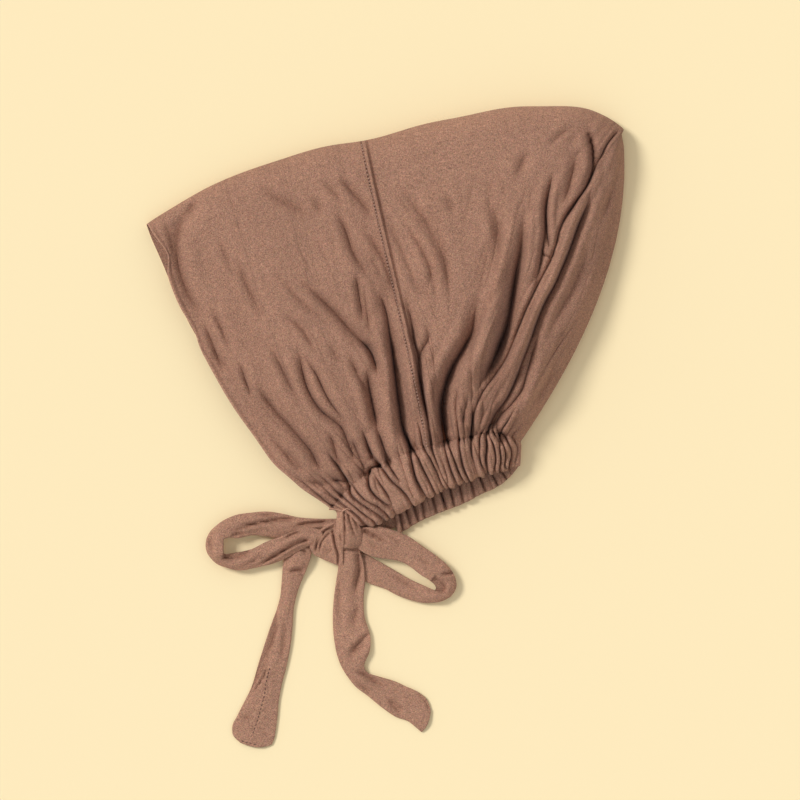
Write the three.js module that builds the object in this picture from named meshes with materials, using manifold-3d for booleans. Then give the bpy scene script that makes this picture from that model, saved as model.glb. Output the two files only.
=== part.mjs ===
// A woven underscarf cap with an elasticated neck and bow ties, lying on its side as it is laid out on a table.
// Millimetres, +Z up. The far side of the cap lies on z = 0, its face opening looks to -X, its crown fold to +Y.
// The origin is on the flat underside, in the middle of the cap's length and height.
import * as THREE from "three";
import { mergeVertices } from "three/addons/utils/BufferGeometryUtils.js";
import Module from "manifold-3d";

const wasm = await Module();
wasm.setup();

// Driving dimensions of the cap
const CAP_LENGTH = 302; // tip of the crown fold at the face to the back of the bag
const CAP_HEIGHT = 270; // lower edge of the far casing to the top of the crown fold
const CAP_DEPTH = 38; // table to the highest cloth
const FOLD_HEIGHT = 6.5; // middle of the crown fold above the table
const CLOTH = 1.2; // wall of the panels
const SEAM_WIDTH = 5.4; // felled seam between the panels
const SEAM_WALL = 2; // the seam's four layers
const SEW_GAP = 0.3; // between pieces that are sewn together
const NEAR_ROLL = 26; // width over which the upper cloth rounds over a fold
const FAR_ROLL = 9; // the same for the cloth that lies on the table
const CASING_WALL = 1.2;
const RUFFLE = 1.7; // half the height of the casing's ruffles

// Driving dimensions of the ties
const TIE_WIDTH = 27; // pressed flat
const TIE_WALL = 3.2; // thickness of a crumpled tie
const BOW_SPAN = 159; // over both loops
const TAIL_DROP = 135; // knot to the ends of the tails
const KNOT_BELOW = 13.5; // front end of the casing down to the middle of the knot
const KNOT_AHEAD = 1.2; // the same towards the face

// Counts of the faceting
const FRONT_COLUMNS = 14;
const BACK_COLUMNS = 34;
const ROLL_ROWS = 3;
const BODY_ROWS = 13;
const NEAR_RUFFLES = 25;
const FAR_RUFFLES = 19;
const COLUMNS_PER_RUFFLE = 4;
const TIE_STEPS = 12;

// Lofting sections from the face edge (at 0) to the back of the bag (at 1). Each runs down from the crown fold to
// the line where the casing is sewn on. x and y are shares of the cap's length and height, z of its depth: z is
// the upper cloth, before it rounds over a fold, and in the last row the middle of the fold at the back.
const SEAM_AT = 0.45;
const SECTIONS = [
  { at: 0.0, crown: [0.002, 0.727, 0.3], upper: [0.086, 0.486, 0.34], lower: [0.205, 0.257, 0.36], hem: [0.386, 0.056, 0.3] },
  { at: 0.15, crown: [0.144, 0.818, 0.48], upper: [0.217, 0.556, 0.6], lower: [0.305, 0.315, 0.68], hem: [0.426, 0.107, 0.5] },
  { at: 0.3, crown: [0.296, 0.879, 0.54], upper: [0.359, 0.619, 0.72], lower: [0.422, 0.376, 0.84], hem: [0.497, 0.164, 0.68] },
  { at: 0.45, crown: [0.455, 0.916, 0.58], upper: [0.501, 0.68, 0.8], lower: [0.543, 0.446, 0.94], hem: [0.591, 0.203, 0.72] },
  { at: 0.58, crown: [0.635, 0.967, 0.6], upper: [0.63, 0.727, 0.86], lower: [0.618, 0.467, 1.0], hem: [0.637, 0.215, 0.74] },
  { at: 0.7, crown: [0.802, 0.995, 0.6], upper: [0.76, 0.745, 0.88], lower: [0.697, 0.486, 1.0], hem: [0.67, 0.222, 0.74] },
  { at: 0.78, crown: [0.923, 0.988, 0.58], upper: [0.823, 0.736, 0.84], lower: [0.743, 0.479, 0.96], hem: [0.685, 0.227, 0.72] },
  { at: 0.85, crown: [0.994, 0.949, 0.54], upper: [0.868, 0.72, 0.78], lower: [0.783, 0.474, 0.9], hem: [0.701, 0.234, 0.7] },
  { at: 0.93, crown: [0.998, 0.932, 0.5], upper: [0.931, 0.685, 0.66], lower: [0.846, 0.446, 0.76], hem: [0.741, 0.231, 0.64] },
  { at: 1.0, crown: [1.0, 0.904, 0.18], upper: [0.975, 0.647, 0.3], lower: [0.891, 0.414, 0.36], hem: [0.783, 0.213, 0.36] },
];

// The neck at the same sections: the free edge of the near casing, the line where the far casing is sewn on, and
// its free edge. x and y are shares of the cap's length and height, z of its depth.
const NECK = [
  { at: 0.0, nearEdge: [0.42, 0.04, 0.27], farHem: [0.495, 0.077], farEdge: [0.528, 0.002, 0.06] },
  { at: 0.15, nearEdge: [0.466, 0.016, 0.34], farHem: [0.518, 0.098], farEdge: [0.547, 0.014, 0.05] },
  { at: 0.3, nearEdge: [0.539, 0.054, 0.38], farHem: [0.547, 0.121], farEdge: [0.576, 0.033, 0.05] },
  { at: 0.45, nearEdge: [0.616, 0.098, 0.4], farHem: [0.587, 0.14], farEdge: [0.616, 0.051, 0.05] },
  { at: 0.58, nearEdge: [0.66, 0.117, 0.41], farHem: [0.63, 0.161], farEdge: [0.664, 0.072, 0.05] },
  { at: 0.7, nearEdge: [0.695, 0.131, 0.41], farHem: [0.668, 0.18], farEdge: [0.699, 0.093, 0.06] },
  { at: 0.85, nearEdge: [0.731, 0.143, 0.4], farHem: [0.714, 0.199], farEdge: [0.739, 0.114, 0.09] },
  { at: 1.0, nearEdge: [0.781, 0.157, 0.26], farHem: [0.783, 0.213], farEdge: [0.781, 0.157, 0.26] },
];

// The main folds of the upper cloth, each a curve through three places in shares of the cap's length and height.
// width and depth are shares of the cap's depth, a valley's depth below zero. fade is the share of the curve over
// which the fold comes up, and ends at the casing where gathered is true.
const FOLDS = [
  { from: [0.39, 0.75], via: [0.43, 0.66], to: [0.459, 0.544], width: 0.17, depth: -0.06, fade: 0.4, gathered: false },
  { from: [0.322, 0.582], via: [0.415, 0.484], to: [0.484, 0.21], width: 0.17, depth: -0.1, fade: 0.35, gathered: true },
  { from: [0.49, 0.526], via: [0.511, 0.381], to: [0.549, 0.19], width: 0.15, depth: -0.18, fade: 0.35, gathered: true },
  { from: [0.315, 0.423], via: [0.353, 0.329], to: [0.418, 0.166], width: 0.18, depth: -0.08, fade: 0.4, gathered: true },
  { from: [0.234, 0.32], via: [0.305, 0.236], to: [0.367, 0.138], width: 0.18, depth: -0.06, fade: 0.4, gathered: false },
  { from: [0.029, 0.661], via: [0.071, 0.713], to: [0.104, 0.778], width: 0.24, depth: -0.05, fade: 0.4, gathered: false },
  { from: [0.52, 0.801], via: [0.582, 0.696], to: [0.605, 0.498], width: 0.2, depth: -0.06, fade: 0.4, gathered: false },
  { from: [0.58, 0.486], via: [0.568, 0.393], to: [0.589, 0.252], width: 0.13, depth: -0.12, fade: 0.35, gathered: true },
  { from: [0.693, 0.549], via: [0.639, 0.393], to: [0.626, 0.217], width: 0.19, depth: -0.2, fade: 0.35, gathered: true },
  { from: [0.789, 0.685], via: [0.756, 0.509], to: [0.676, 0.339], width: 0.22, depth: -0.22, fade: 0.35, gathered: false },
  { from: [0.835, 0.825], via: [0.829, 0.696], to: [0.797, 0.554], width: 0.13, depth: -0.14, fade: 0.35, gathered: false },
  { from: [0.935, 0.839], via: [0.839, 0.561], to: [0.718, 0.25], width: 0.15, depth: -0.22, fade: 0.25, gathered: true },
  { from: [0.839, 0.509], via: [0.797, 0.376], to: [0.739, 0.252], width: 0.13, depth: -0.12, fade: 0.35, gathered: true },
  { from: [0.77, 0.778], via: [0.729, 0.568], to: [0.645, 0.357], width: 0.2, depth: 0.08, fade: 0.4, gathered: false },
];
const FOLD_STEPS = 12;

// The runs of the ties. x and y run from the middle of the knot, as shares of the bow's span on the loops, of the
// way to the casing's end on the roots and of the tails' drop on the tails. z and wide are shares of the tie's
// width; tilt stands the tie on its edge, in degrees.
const LEFT_LOOP = [
  { x: -0.01, y: 0.02, z: 0.3, wide: 0.4, tilt: 0 },
  { x: -0.09, y: 0.042, z: 0.4, wide: 0.5, tilt: -6 },
  { x: -0.178, y: 0.042, z: 0.38, wide: 0.56, tilt: -12 },
  { x: -0.329, y: 0.045, z: 0.34, wide: 0.6, tilt: -24 },
  { x: -0.436, y: 0.04, z: 0.32, wide: 0.58, tilt: -42 },
  { x: -0.505, y: 0.006, z: 0.32, wide: 0.56, tilt: -60 },
  { x: -0.525, y: -0.05, z: 0.32, wide: 0.56, tilt: -66 },
  { x: -0.486, y: -0.1, z: 0.31, wide: 0.56, tilt: -58 },
  { x: -0.4, y: -0.108, z: 0.27, wide: 0.58, tilt: -34 },
  { x: -0.289, y: -0.078, z: 0.22, wide: 0.56, tilt: -14 },
  { x: -0.178, y: -0.045, z: 0.21, wide: 0.5, tilt: 0 },
  { x: -0.05, y: -0.02, z: 0.22, wide: 0.44, tilt: 0 },
];
const RIGHT_LOOP = [
  { x: 0.015, y: -0.005, z: 0.24, wide: 0.4, tilt: 0 },
  { x: 0.079, y: -0.012, z: 0.32, wide: 0.54, tilt: 0 },
  { x: 0.158, y: -0.032, z: 0.33, wide: 0.6, tilt: -8 },
  { x: 0.238, y: -0.062, z: 0.3, wide: 0.6, tilt: -20 },
  { x: 0.317, y: -0.107, z: 0.28, wide: 0.58, tilt: -36 },
  { x: 0.38, y: -0.152, z: 0.29, wide: 0.56, tilt: -54 },
  { x: 0.407, y: -0.196, z: 0.31, wide: 0.56, tilt: -66 },
  { x: 0.382, y: -0.23, z: 0.28, wide: 0.56, tilt: -50 },
  { x: 0.3, y: -0.228, z: 0.18, wide: 0.56, tilt: -22 },
  { x: 0.218, y: -0.198, z: 0.12, wide: 0.54, tilt: -8 },
  { x: 0.13, y: -0.148, z: 0.1, wide: 0.5, tilt: 0 },
  { x: 0.05, y: -0.09, z: 0.12, wide: 0.42, tilt: 0 },
];
const NEAR_ROOT = [
  { x: -0.305, y: 0.997, z: 0.38, wide: 0.34, tilt: 0 },
  { x: -0.446, y: 0.657, z: 0.35, wide: 0.36, tilt: 0 },
  { x: -0.305, y: 0.305, z: 0.3, wide: 0.38, tilt: 0 },
  { x: -0.047, y: 0.094, z: 0.28, wide: 0.38, tilt: 0 },
];
const FAR_ROOT = [
  { x: 0.86, y: 0.35, z: 0.08, wide: 0.72, tilt: 0 },
  { x: 0.55, y: 0.21, z: 0.08, wide: 0.5, tilt: 0 },
  { x: 0.25, y: 0.09, z: 0.08, wide: 0.44, tilt: 0 },
  { x: 0.0, y: 0.0, z: 0.1, wide: 0.4, tilt: 0 },
];
const LEFT_TAIL = [
  { x: -0.12, y: -0.07, z: 0.075, wide: 0.5, tilt: 0 },
  { x: -0.21, y: -0.126, z: 0.075, wide: 0.56, tilt: 0 },
  { x: -0.257, y: -0.225, z: 0.07, wide: 0.48, tilt: 0 },
  { x: -0.284, y: -0.35, z: 0.065, wide: 0.42, tilt: 0 },
  { x: -0.315, y: -0.49, z: 0.065, wide: 0.64, tilt: 0 },
  { x: -0.355, y: -0.65, z: 0.065, wide: 0.76, tilt: 0 },
  { x: -0.404, y: -0.82, z: 0.065, wide: 0.93, tilt: 0 },
  { x: -0.43, y: -0.99, z: 0.065, wide: 1.0, tilt: 0 },
];
const RIGHT_TAIL = [
  { x: 0.02, y: -0.04, z: 0.22, wide: 0.56, tilt: 0 },
  { x: 0.016, y: -0.13, z: 0.27, wide: 0.64, tilt: 0 },
  { x: 0.01, y: -0.27, z: 0.11, wide: 0.74, tilt: 0 },
  { x: 0.018, y: -0.42, z: 0.065, wide: 0.8, tilt: 0 },
  { x: 0.036, y: -0.56, z: 0.065, wide: 0.8, tilt: 0 },
  { x: 0.09, y: -0.665, z: 0.065, wide: 0.66, tilt: 0 },
  { x: 0.19, y: -0.74, z: 0.065, wide: 0.7, tilt: 0 },
  { x: 0.29, y: -0.8, z: 0.065, wide: 0.84, tilt: 0 },
  { x: 0.36, y: -0.84, z: 0.065, wide: 0.98, tilt: 0 },
];

// The strips of tie that make the knot, in shares of the tie's width from the middle of the knot.
const KNOT_STRIPS = [
  [
    { x: -0.05, y: 0.25, z: 0.36, wide: 0.46, tilt: 0 },
    { x: 0.03, y: 0.13, z: 0.45, wide: 0.56, tilt: 0 },
    { x: 0.09, y: -0.06, z: 0.49, wide: 0.62, tilt: 0 },
    { x: 0.12, y: -0.3, z: 0.36, wide: 0.58, tilt: 0 },
  ],
  [
    { x: 0.2, y: 0.08, z: 0.3, wide: 0.6, tilt: 0 },
    { x: -0.3, y: -0.1, z: 0.34, wide: 0.72, tilt: 0 },
    { x: -0.68, y: -0.24, z: 0.24, wide: 0.66, tilt: 0 },
  ],
  [
    { x: -0.3, y: 0.02, z: 0.17, wide: 0.7, tilt: 0 },
    { x: 0.1, y: -0.02, z: 0.18, wide: 0.9, tilt: 0 },
    { x: 0.52, y: -0.08, z: 0.18, wide: 0.74, tilt: 0 },
  ],
];
const KNOT_WALL = 2.1; // thickness of a knot's strip, as a multiple of the tie's wall

// Value of one column of a table at any place along its at column, by a smooth curve through the rows.
function along(table, column, at, component) {
  const value = (row) => (component === undefined ? row[column] : row[column][component]);
  let i = 0;
  while (i < table.length - 2 && at > table[i + 1].at) i += 1;
  const slope = (a, b) => (value(b) - value(a)) / (b.at - a.at);
  const here = table[i];
  const next = table[i + 1];
  const span = next.at - here.at;
  const tangent = (before, row, after) => {
    if (!before) return slope(row, after);
    if (!after) return slope(before, row);
    const left = row.at - before.at;
    const right = after.at - row.at;
    return (slope(before, row) * right + slope(row, after) * left) / (left + right);
  };
  const m0 = tangent(table[i - 1], here, next) * span;
  const m1 = tangent(here, next, table[i + 2]) * span;
  const f = (at - here.at) / span;
  const f2 = f * f;
  const f3 = f2 * f;
  return (
    value(here) * (2 * f3 - 3 * f2 + 1) +
    m0 * (f3 - 2 * f2 + f) +
    value(next) * (3 * f2 - 2 * f3) +
    m1 * (f3 - f2)
  );
}

// Smooth step from 0 to 1.
function ease(f) {
  const c = THREE.MathUtils.clamp(f, 0, 1);
  return c * c * (3 - 2 * c);
}

// How far a cloth has rounded over a fold at a distance from it: 0 on the fold, 1 past its roll.
function rolled(distance, roll) {
  const left = 1 - Math.min(Math.max(distance / roll, 0), 1);
  return Math.sqrt(1 - left * left);
}

// A place given in shares of the cap, in millimetres in the part's frame.
function placed(x, y) {
  return [(x - 0.5) * CAP_LENGTH, (y - 0.5) * CAP_HEIGHT];
}

// Weights of the four stations hem, lower, upper and crown at a share t of the way up a section.
function stations(t) {
  const third = t - 1 / 3;
  const second = t - 2 / 3;
  return {
    hem: -4.5 * third * second * (t - 1),
    lower: 13.5 * t * second * (t - 1),
    upper: -13.5 * t * third * (t - 1),
    crown: 4.5 * t * third * second,
  };
}

// One coordinate of a section's curve, in shares.
function sectionShare(s, t, component) {
  let sum = 0;
  for (const [station, weight] of Object.entries(stations(t))) {
    sum += weight * along(SECTIONS, station, s, component);
  }
  return sum;
}

// Plan position of the cloth at section s and share t up it, on the near (upper) or the far (lower) side.
function plan(s, t, far) {
  const x = sectionShare(s, t, 0);
  const y = sectionShare(s, t, 1);
  if (!far) return placed(x, y);
  const down = (1 - t) ** 3;
  const slipX = along(NECK, "farHem", s, 0) - along(SECTIONS, "hem", s, 0);
  const slipY = along(NECK, "farHem", s, 1) - along(SECTIONS, "hem", s, 1);
  return placed(x + slipX * down, y + slipY * down);
}

// Distance in plan between two places.
function apart(a, b) {
  return Math.hypot(a[0] - b[0], a[1] - b[1]);
}

// Points along a fold's curve, in millimetres.
function foldLine(fold) {
  const [fx, fy] = placed(...fold.from);
  const [vx, vy] = placed(...fold.via);
  const [tx, ty] = placed(...fold.to);
  const curve = new THREE.QuadraticBezierCurve(
    new THREE.Vector2(fx, fy),
    new THREE.Vector2(2 * vx - (fx + tx) / 2, 2 * vy - (fy + ty) / 2),
    new THREE.Vector2(tx, ty),
  );
  return curve.getPoints(FOLD_STEPS);
}
const foldLines = FOLDS.map(foldLine);

// Height that the main folds add to the upper cloth at a plan position.
function foldHeight(x, y) {
  let height = 0;
  FOLDS.forEach((fold, k) => {
    const line = foldLines[k];
    const reach = fold.width * CAP_DEPTH;
    let nearest = Infinity;
    let share = 0;
    for (let i = 0; i < line.length - 1; i += 1) {
      const a = line[i];
      const dx = line[i + 1].x - a.x;
      const dy = line[i + 1].y - a.y;
      const f = THREE.MathUtils.clamp(((x - a.x) * dx + (y - a.y) * dy) / (dx * dx + dy * dy), 0, 1);
      const d = Math.hypot(x - a.x - f * dx, y - a.y - f * dy);
      if (d < nearest) {
        nearest = d;
        share = (i + f) / (line.length - 1);
      }
    }
    const rise = ease(share / fold.fade);
    const fall = fold.gathered ? 1 : ease((1 - share) / fold.fade);
    height += fold.depth * CAP_DEPTH * rise * fall * Math.exp(-((nearest / reach) ** 2));
  });
  return height;
}

// Height of the middle of the fold that joins the near and the far cloth: the crown fold, or the back of the bag.
function foldMiddle(s, t, backRolled) {
  const back = CAP_DEPTH * sectionShare(1, t, 2);
  return FOLD_HEIGHT + (back - FOLD_HEIGHT) * (1 - backRolled);
}

// A point of the cap's outer surface at section s and share t, on the near or the far side.
function capPoint(s, t, far) {
  const [x, y] = plan(s, t, far);
  const sectionLength = apart(plan(s, 1, far), plan(s, 0, far));
  const toCrown = (1 - t) * sectionLength;
  const toBack = apart([x, y], plan(1, t, far));
  const roll = far ? FAR_ROLL : NEAR_ROLL;
  const over = rolled(toCrown, roll) * rolled(toBack, roll);
  const middle = foldMiddle(s, t, rolled(toBack, roll));
  if (far) return new THREE.Vector3(x, y, middle * (1 - over));
  const top = CAP_DEPTH * (s < 1 ? Math.min(sectionShare(s, t, 2), 1) : 0) + foldHeight(x, y);
  return new THREE.Vector3(x, y, middle + (top - middle) * over);
}

// Shares t of the rows from the casing up to the crown fold, closer together where the cloth rolls over it.
function rowShares() {
  const rollShare = 0.12;
  const shares = [];
  for (let i = 0; i < BODY_ROWS; i += 1) shares.push((i / BODY_ROWS) * (1 - rollShare));
  for (let i = 0; i <= ROLL_ROWS; i += 1) {
    const angle = ((ROLL_ROWS - i) / ROLL_ROWS) * (Math.PI / 2);
    shares.push(1 - rollShare * (1 - Math.cos(angle)));
  }
  return shares;
}

// Share of a section per millimetre across it, at the seam.
function acrossSeam(t, far) {
  const step = 0.01;
  return (2 * step) / apart(plan(SEAM_AT - step, t, far), plan(SEAM_AT + step, t, far));
}

// A closed solid from a sheet of quads: the sheet is its outer face, and the wall goes inwards. Grid positions
// that fall together, as along a fold, are one vertex. Where a piece is sewn on, sewnAt gives the directions across
// its seams for a column and row, and the wall goes in square to them.
function thicken(columns, wall, sewnAt) {
  const rows = columns[0].length;
  const ids = new Map();
  const points = [];
  const across = [];
  const idAt = (i, j) => {
    const p = columns[i][j];
    const key = [p.x, p.y, p.z].map((v) => v.toFixed(3)).join(" ");
    if (!ids.has(key)) {
      ids.set(key, points.length);
      points.push(p);
      across.push(sewnAt(i, j));
    }
    return ids.get(key);
  };
  const faces = [];
  const normals = [];
  const addFace = (a, b, c) => {
    if (a === b || b === c || c === a) return;
    faces.push([a, b, c]);
    const ab = points[b].clone().sub(points[a]);
    const ac = points[c].clone().sub(points[a]);
    const normal = ab.cross(ac);
    for (const id of [a, b, c]) {
      normals[id] = (normals[id] ?? new THREE.Vector3()).add(normal);
    }
  };
  for (let i = 0; i < columns.length - 1; i += 1) {
    for (let j = 0; j < rows - 1; j += 1) {
      const [a, b, c, d] = [idAt(i, j), idAt(i + 1, j), idAt(i + 1, j + 1), idAt(i, j + 1)];
      addFace(a, b, c);
      addFace(a, c, d);
    }
  }
  const count = points.length;
  const position = points.flatMap((p) => p.toArray());
  points.forEach((p, id) => {
    const inward = normals[id].clone();
    for (const direction of across[id]) inward.projectOnPlane(direction);
    position.push(...p.clone().addScaledVector(inward.normalize(), -wall).toArray());
  });
  const index = [];
  const edges = new Set();
  for (const [a, b, c] of faces) {
    index.push(a, b, c, count + a, count + c, count + b);
    for (const [from, to] of [[a, b], [b, c], [c, a]]) edges.add(`${from} ${to}`);
  }
  for (const edge of edges) {
    const [from, to] = edge.split(" ").map(Number);
    if (edges.has(`${to} ${from}`)) continue;
    index.push(to, from, count + from, to, count + from, count + to);
  }
  const solid = new THREE.BufferGeometry();
  solid.setAttribute("position", new THREE.BufferAttribute(new Float32Array(position), 3));
  solid.setIndex(index);
  return solid;
}

// Rows of a piece that is folded over the crown: up the near side from the casing and down the far side.
const ROWS = [
  ...rowShares().map((t) => ({ t, far: false })),
  ...rowShares().slice(0, -1).reverse().map((t) => ({ t, far: true })),
];

// Direction across the seam at a row.
function seamAcross({ t, far }) {
  const step = 0.01;
  return capPoint(SEAM_AT + step, t, far).sub(capPoint(SEAM_AT - step, t, far)).normalize();
}

// The free edge of the casing at a section.
function casingEdge(s, far) {
  const [x, y, z] = [0, 1, 2].map((component) => along(NECK, far ? "farEdge" : "nearEdge", s, component));
  return new THREE.Vector3(...placed(x, y), z * CAP_DEPTH);
}

// Direction across the line where the casing is sewn on.
function hemAcross(s, far) {
  return casingEdge(s, far).sub(capPoint(s, 0.03, far)).normalize();
}

// A folded panel. sectionAt gives the section of a column's share u of the panel at each row, and seamColumn is
// the column on the crown seam.
function foldedPanel(count, sectionAt, seamColumn) {
  const columns = [];
  for (let i = 0; i <= count; i += 1) {
    columns.push(ROWS.map(({ t, far }) => capPoint(sectionAt(i / count, t, far), t, far)));
  }
  const sewnAt = (i, j) => {
    const { t, far } = ROWS[j];
    const directions = [];
    if (t === 0) directions.push(hemAcross(sectionAt(i / count, t, far), far));
    if (i === seamColumn) directions.push(seamAcross(ROWS[j]));
    return directions;
  };
  return thicken(columns, CLOTH, sewnAt);
}

const seamHalf = SEAM_WIDTH / 2 + SEW_GAP;

function frontPanel() {
  const sectionAt = (u, t, far) => u * (SEAM_AT - seamHalf * acrossSeam(t, far));
  return foldedPanel(FRONT_COLUMNS, sectionAt, FRONT_COLUMNS);
}

function backPanel() {
  const sectionAt = (u, t, far) => {
    const start = SEAM_AT + seamHalf * acrossSeam(t, far);
    const spread = u < 1 ? Math.sin((u * Math.PI) / 2) * 0.35 + u * 0.65 : 1;
    return start + spread * (1 - start);
  };
  return foldedPanel(BACK_COLUMNS, sectionAt, 0);
}

// The felled seam stands out from the near cloth, and on the far side is level with it on the table.
function crownSeam() {
  const stand = SEAM_WALL - CLOTH;
  const raised = (w, row) => {
    const { t, far } = row;
    const p = capPoint(SEAM_AT + w * acrossSeam(t, far), t, far);
    if (far) return p;
    const step = 0.01;
    const up = capPoint(SEAM_AT, Math.min(t + step, 1), far).sub(capPoint(SEAM_AT, Math.max(t - step, 0), far));
    const outward = seamAcross(row).cross(up).normalize();
    return p.addScaledVector(outward, stand * rolled((1 - t) * CAP_HEIGHT, NEAR_ROLL));
  };
  const columns = [-0.5, 0, 0.5].map((w) => ROWS.map((row) => raised(w * SEAM_WIDTH, row)));
  const sewnAt = (i, j) => {
    const { t, far } = ROWS[j];
    return t === 0 ? [hemAcross(SEAM_AT, far), seamAcross(ROWS[j])] : [seamAcross(ROWS[j])];
  };
  return thicken(columns, SEAM_WALL, sewnAt);
}

// The elasticated casing: a ruffled band from the near front end round the back of the neck to the far front end.
function elasticCasing() {
  const columns = [];
  const sewn = [];
  const ring = (q, far, i) => {
    const edge = casingEdge(q, far);
    const across = hemAcross(q, far);
    const top = capPoint(q, 0, far).addScaledVector(across, SEW_GAP);
    sewn.push(across);
    const wave = Math.cos((i * 2 * Math.PI) / COLUMNS_PER_RUFFLE) * RUFFLE;
    const turn = ease((1 - q) / 0.12);
    const out = new THREE.Vector3(1 - turn, 0, far ? -turn : turn).normalize();
    const lift = far ? RUFFLE * turn : 0;
    return [0, 0.5, 1].map((r) => {
      const p = edge.clone().lerp(top, r);
      const loose = 1 - r ** 4;
      p.addScaledVector(out, wave * loose);
      p.z = Math.max(p.z + lift * loose, 0);
      return p;
    });
  };
  const nearCount = NEAR_RUFFLES * COLUMNS_PER_RUFFLE;
  const farCount = FAR_RUFFLES * COLUMNS_PER_RUFFLE;
  for (let i = 0; i <= nearCount; i += 1) columns.push(ring(i / nearCount, false, i - nearCount));
  for (let i = 1; i <= farCount; i += 1) columns.push(ring(1 - i / farCount, true, i));
  const topRow = columns[0].length - 1;
  return thicken(columns, CASING_WALL, (i, j) => (j === topRow ? [sewn[i]] : []));
}

// A solid from a mesh geometry, for cutting and joining.
function solidOf(geometry) {
  const bare = new THREE.BufferGeometry();
  bare.setAttribute("position", geometry.attributes.position);
  bare.setIndex(geometry.index);
  const merged = mergeVertices(bare, 1e-4);
  return new wasm.Manifold(
    new wasm.Mesh({
      numProp: 3,
      vertProperties: merged.attributes.position.array,
      triVerts: new Uint32Array(merged.index.array),
    }),
  );
}

// A mesh geometry from a solid.
function geometryOf(solid) {
  const mesh = solid.getMesh();
  const geometry = new THREE.BufferGeometry();
  geometry.setAttribute("position", new THREE.BufferAttribute(mesh.vertProperties, 3));
  geometry.setIndex(new THREE.BufferAttribute(mesh.triVerts, 1));
  geometry.computeVertexNormals();
  return geometry;
}

// The largest body of a solid.
function largest(solid) {
  return solid.decompose().reduce((best, body) => (body.volume() > best.volume() ? body : best));
}

// Corners of a tie's section, across as a share of half its width and up as a share of half its thickness.
const TIE_CORNERS = [
  [-1, 0],
  [-0.8, -0.9],
  [0, -1],
  [0.8, -0.9],
  [1, 0],
  [0.8, 0.9],
  [0, 1],
  [-0.8, 0.9],
];

// A run of tie lofted through the rows of a table. scaleXY turns the rows' x and y into millimetres from centre,
// wall is the tie's thickness, and grown widens the section all round.
function tieRun(rows, centre, scaleXY, wall, grown = 0) {
  const points = rows.map((r) => new THREE.Vector3(r.x * scaleXY, r.y * scaleXY, r.z * TIE_WIDTH));
  const path = new THREE.CatmullRomCurve3(points);
  const table = rows.map((r, i) => ({ ...r, at: i / (rows.length - 1) }));
  const position = [];
  for (let i = 0; i <= TIE_STEPS; i += 1) {
    const u = i / TIE_STEPS;
    const middle = path.getPoint(u).add(centre);
    const ahead = path.getTangent(u);
    const side = new THREE.Vector3(ahead.y, -ahead.x, 0).normalize();
    side.applyAxisAngle(ahead, THREE.MathUtils.degToRad(along(table, "tilt", u)));
    const up = new THREE.Vector3().crossVectors(side, ahead);
    const half = (along(table, "wide", u) * TIE_WIDTH) / 2 + grown;
    for (const [across, over] of TIE_CORNERS) {
      const corner = middle
        .clone()
        .addScaledVector(side, across * half)
        .addScaledVector(up, over * (wall / 2 + grown));
      position.push(corner.x, corner.y, Math.max(corner.z, 0));
    }
  }
  const corners = TIE_CORNERS.length;
  const index = [];
  for (let i = 0; i < TIE_STEPS; i += 1) {
    for (let k = 0; k < corners; k += 1) {
      const a = i * corners + k;
      const b = i * corners + ((k + 1) % corners);
      index.push(a, a + corners, b, b, a + corners, b + corners);
    }
  }
  const last = TIE_STEPS * corners;
  for (let k = 1; k < corners - 1; k += 1) {
    index.push(0, k, k + 1, last, last + k + 1, last + k);
  }
  const geometry = new THREE.BufferGeometry();
  geometry.setAttribute("position", new THREE.BufferAttribute(new Float32Array(position), 3));
  geometry.setIndex(index);
  return geometry;
}

// The casing's front ends in plan, and the middle of the knot below the near one.
const nearEnd = placed(along(NECK, "nearEdge", 0, 0), along(NECK, "nearEdge", 0, 1));
const farEnd = [0, 1].map((c) => (plan(0, 0, true)[c] + placed(...NECK[0].farEdge)[c]) / 2);
const knotCentre = new THREE.Vector3(nearEnd[0] - KNOT_AHEAD, nearEnd[1] - KNOT_BELOW, 0);
const wayTo = (end) => apart(end, [knotCentre.x, knotCentre.y]);

// The knot's strips joined into one body, grown all round by a clearance where it cuts the ties.
function knotSolid(grown) {
  const strips = KNOT_STRIPS.map((rows) =>
    solidOf(tieRun(rows, knotCentre, TIE_WIDTH, TIE_WALL * KNOT_WALL, grown)),
  );
  return strips.reduce((sum, strip) => sum.add(strip));
}

// Cloth colours, from the photographed cloth
const CLOTH_COLOUR = 0xa67f6b;
const SEAM_COLOUR = 0x9c7562;

function clothMaterial(colour) {
  return new THREE.MeshStandardMaterial({ color: colour, roughness: 0.92, metalness: 0 });
}

const cap = new THREE.Group();

function addPiece(name, geometry, colour) {
  const mesh = new THREE.Mesh(geometry, clothMaterial(colour));
  mesh.name = name;
  cap.add(mesh);
}

addPiece("front_panel", frontPanel(), CLOTH_COLOUR);
addPiece("crown_seam", crownSeam(), SEAM_COLOUR);
addPiece("back_panel", backPanel(), CLOTH_COLOUR);
addPiece("elastic_casing", elasticCasing(), CLOTH_COLOUR);
addPiece("bow_knot", geometryOf(knotSolid(0)), CLOTH_COLOUR);

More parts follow.
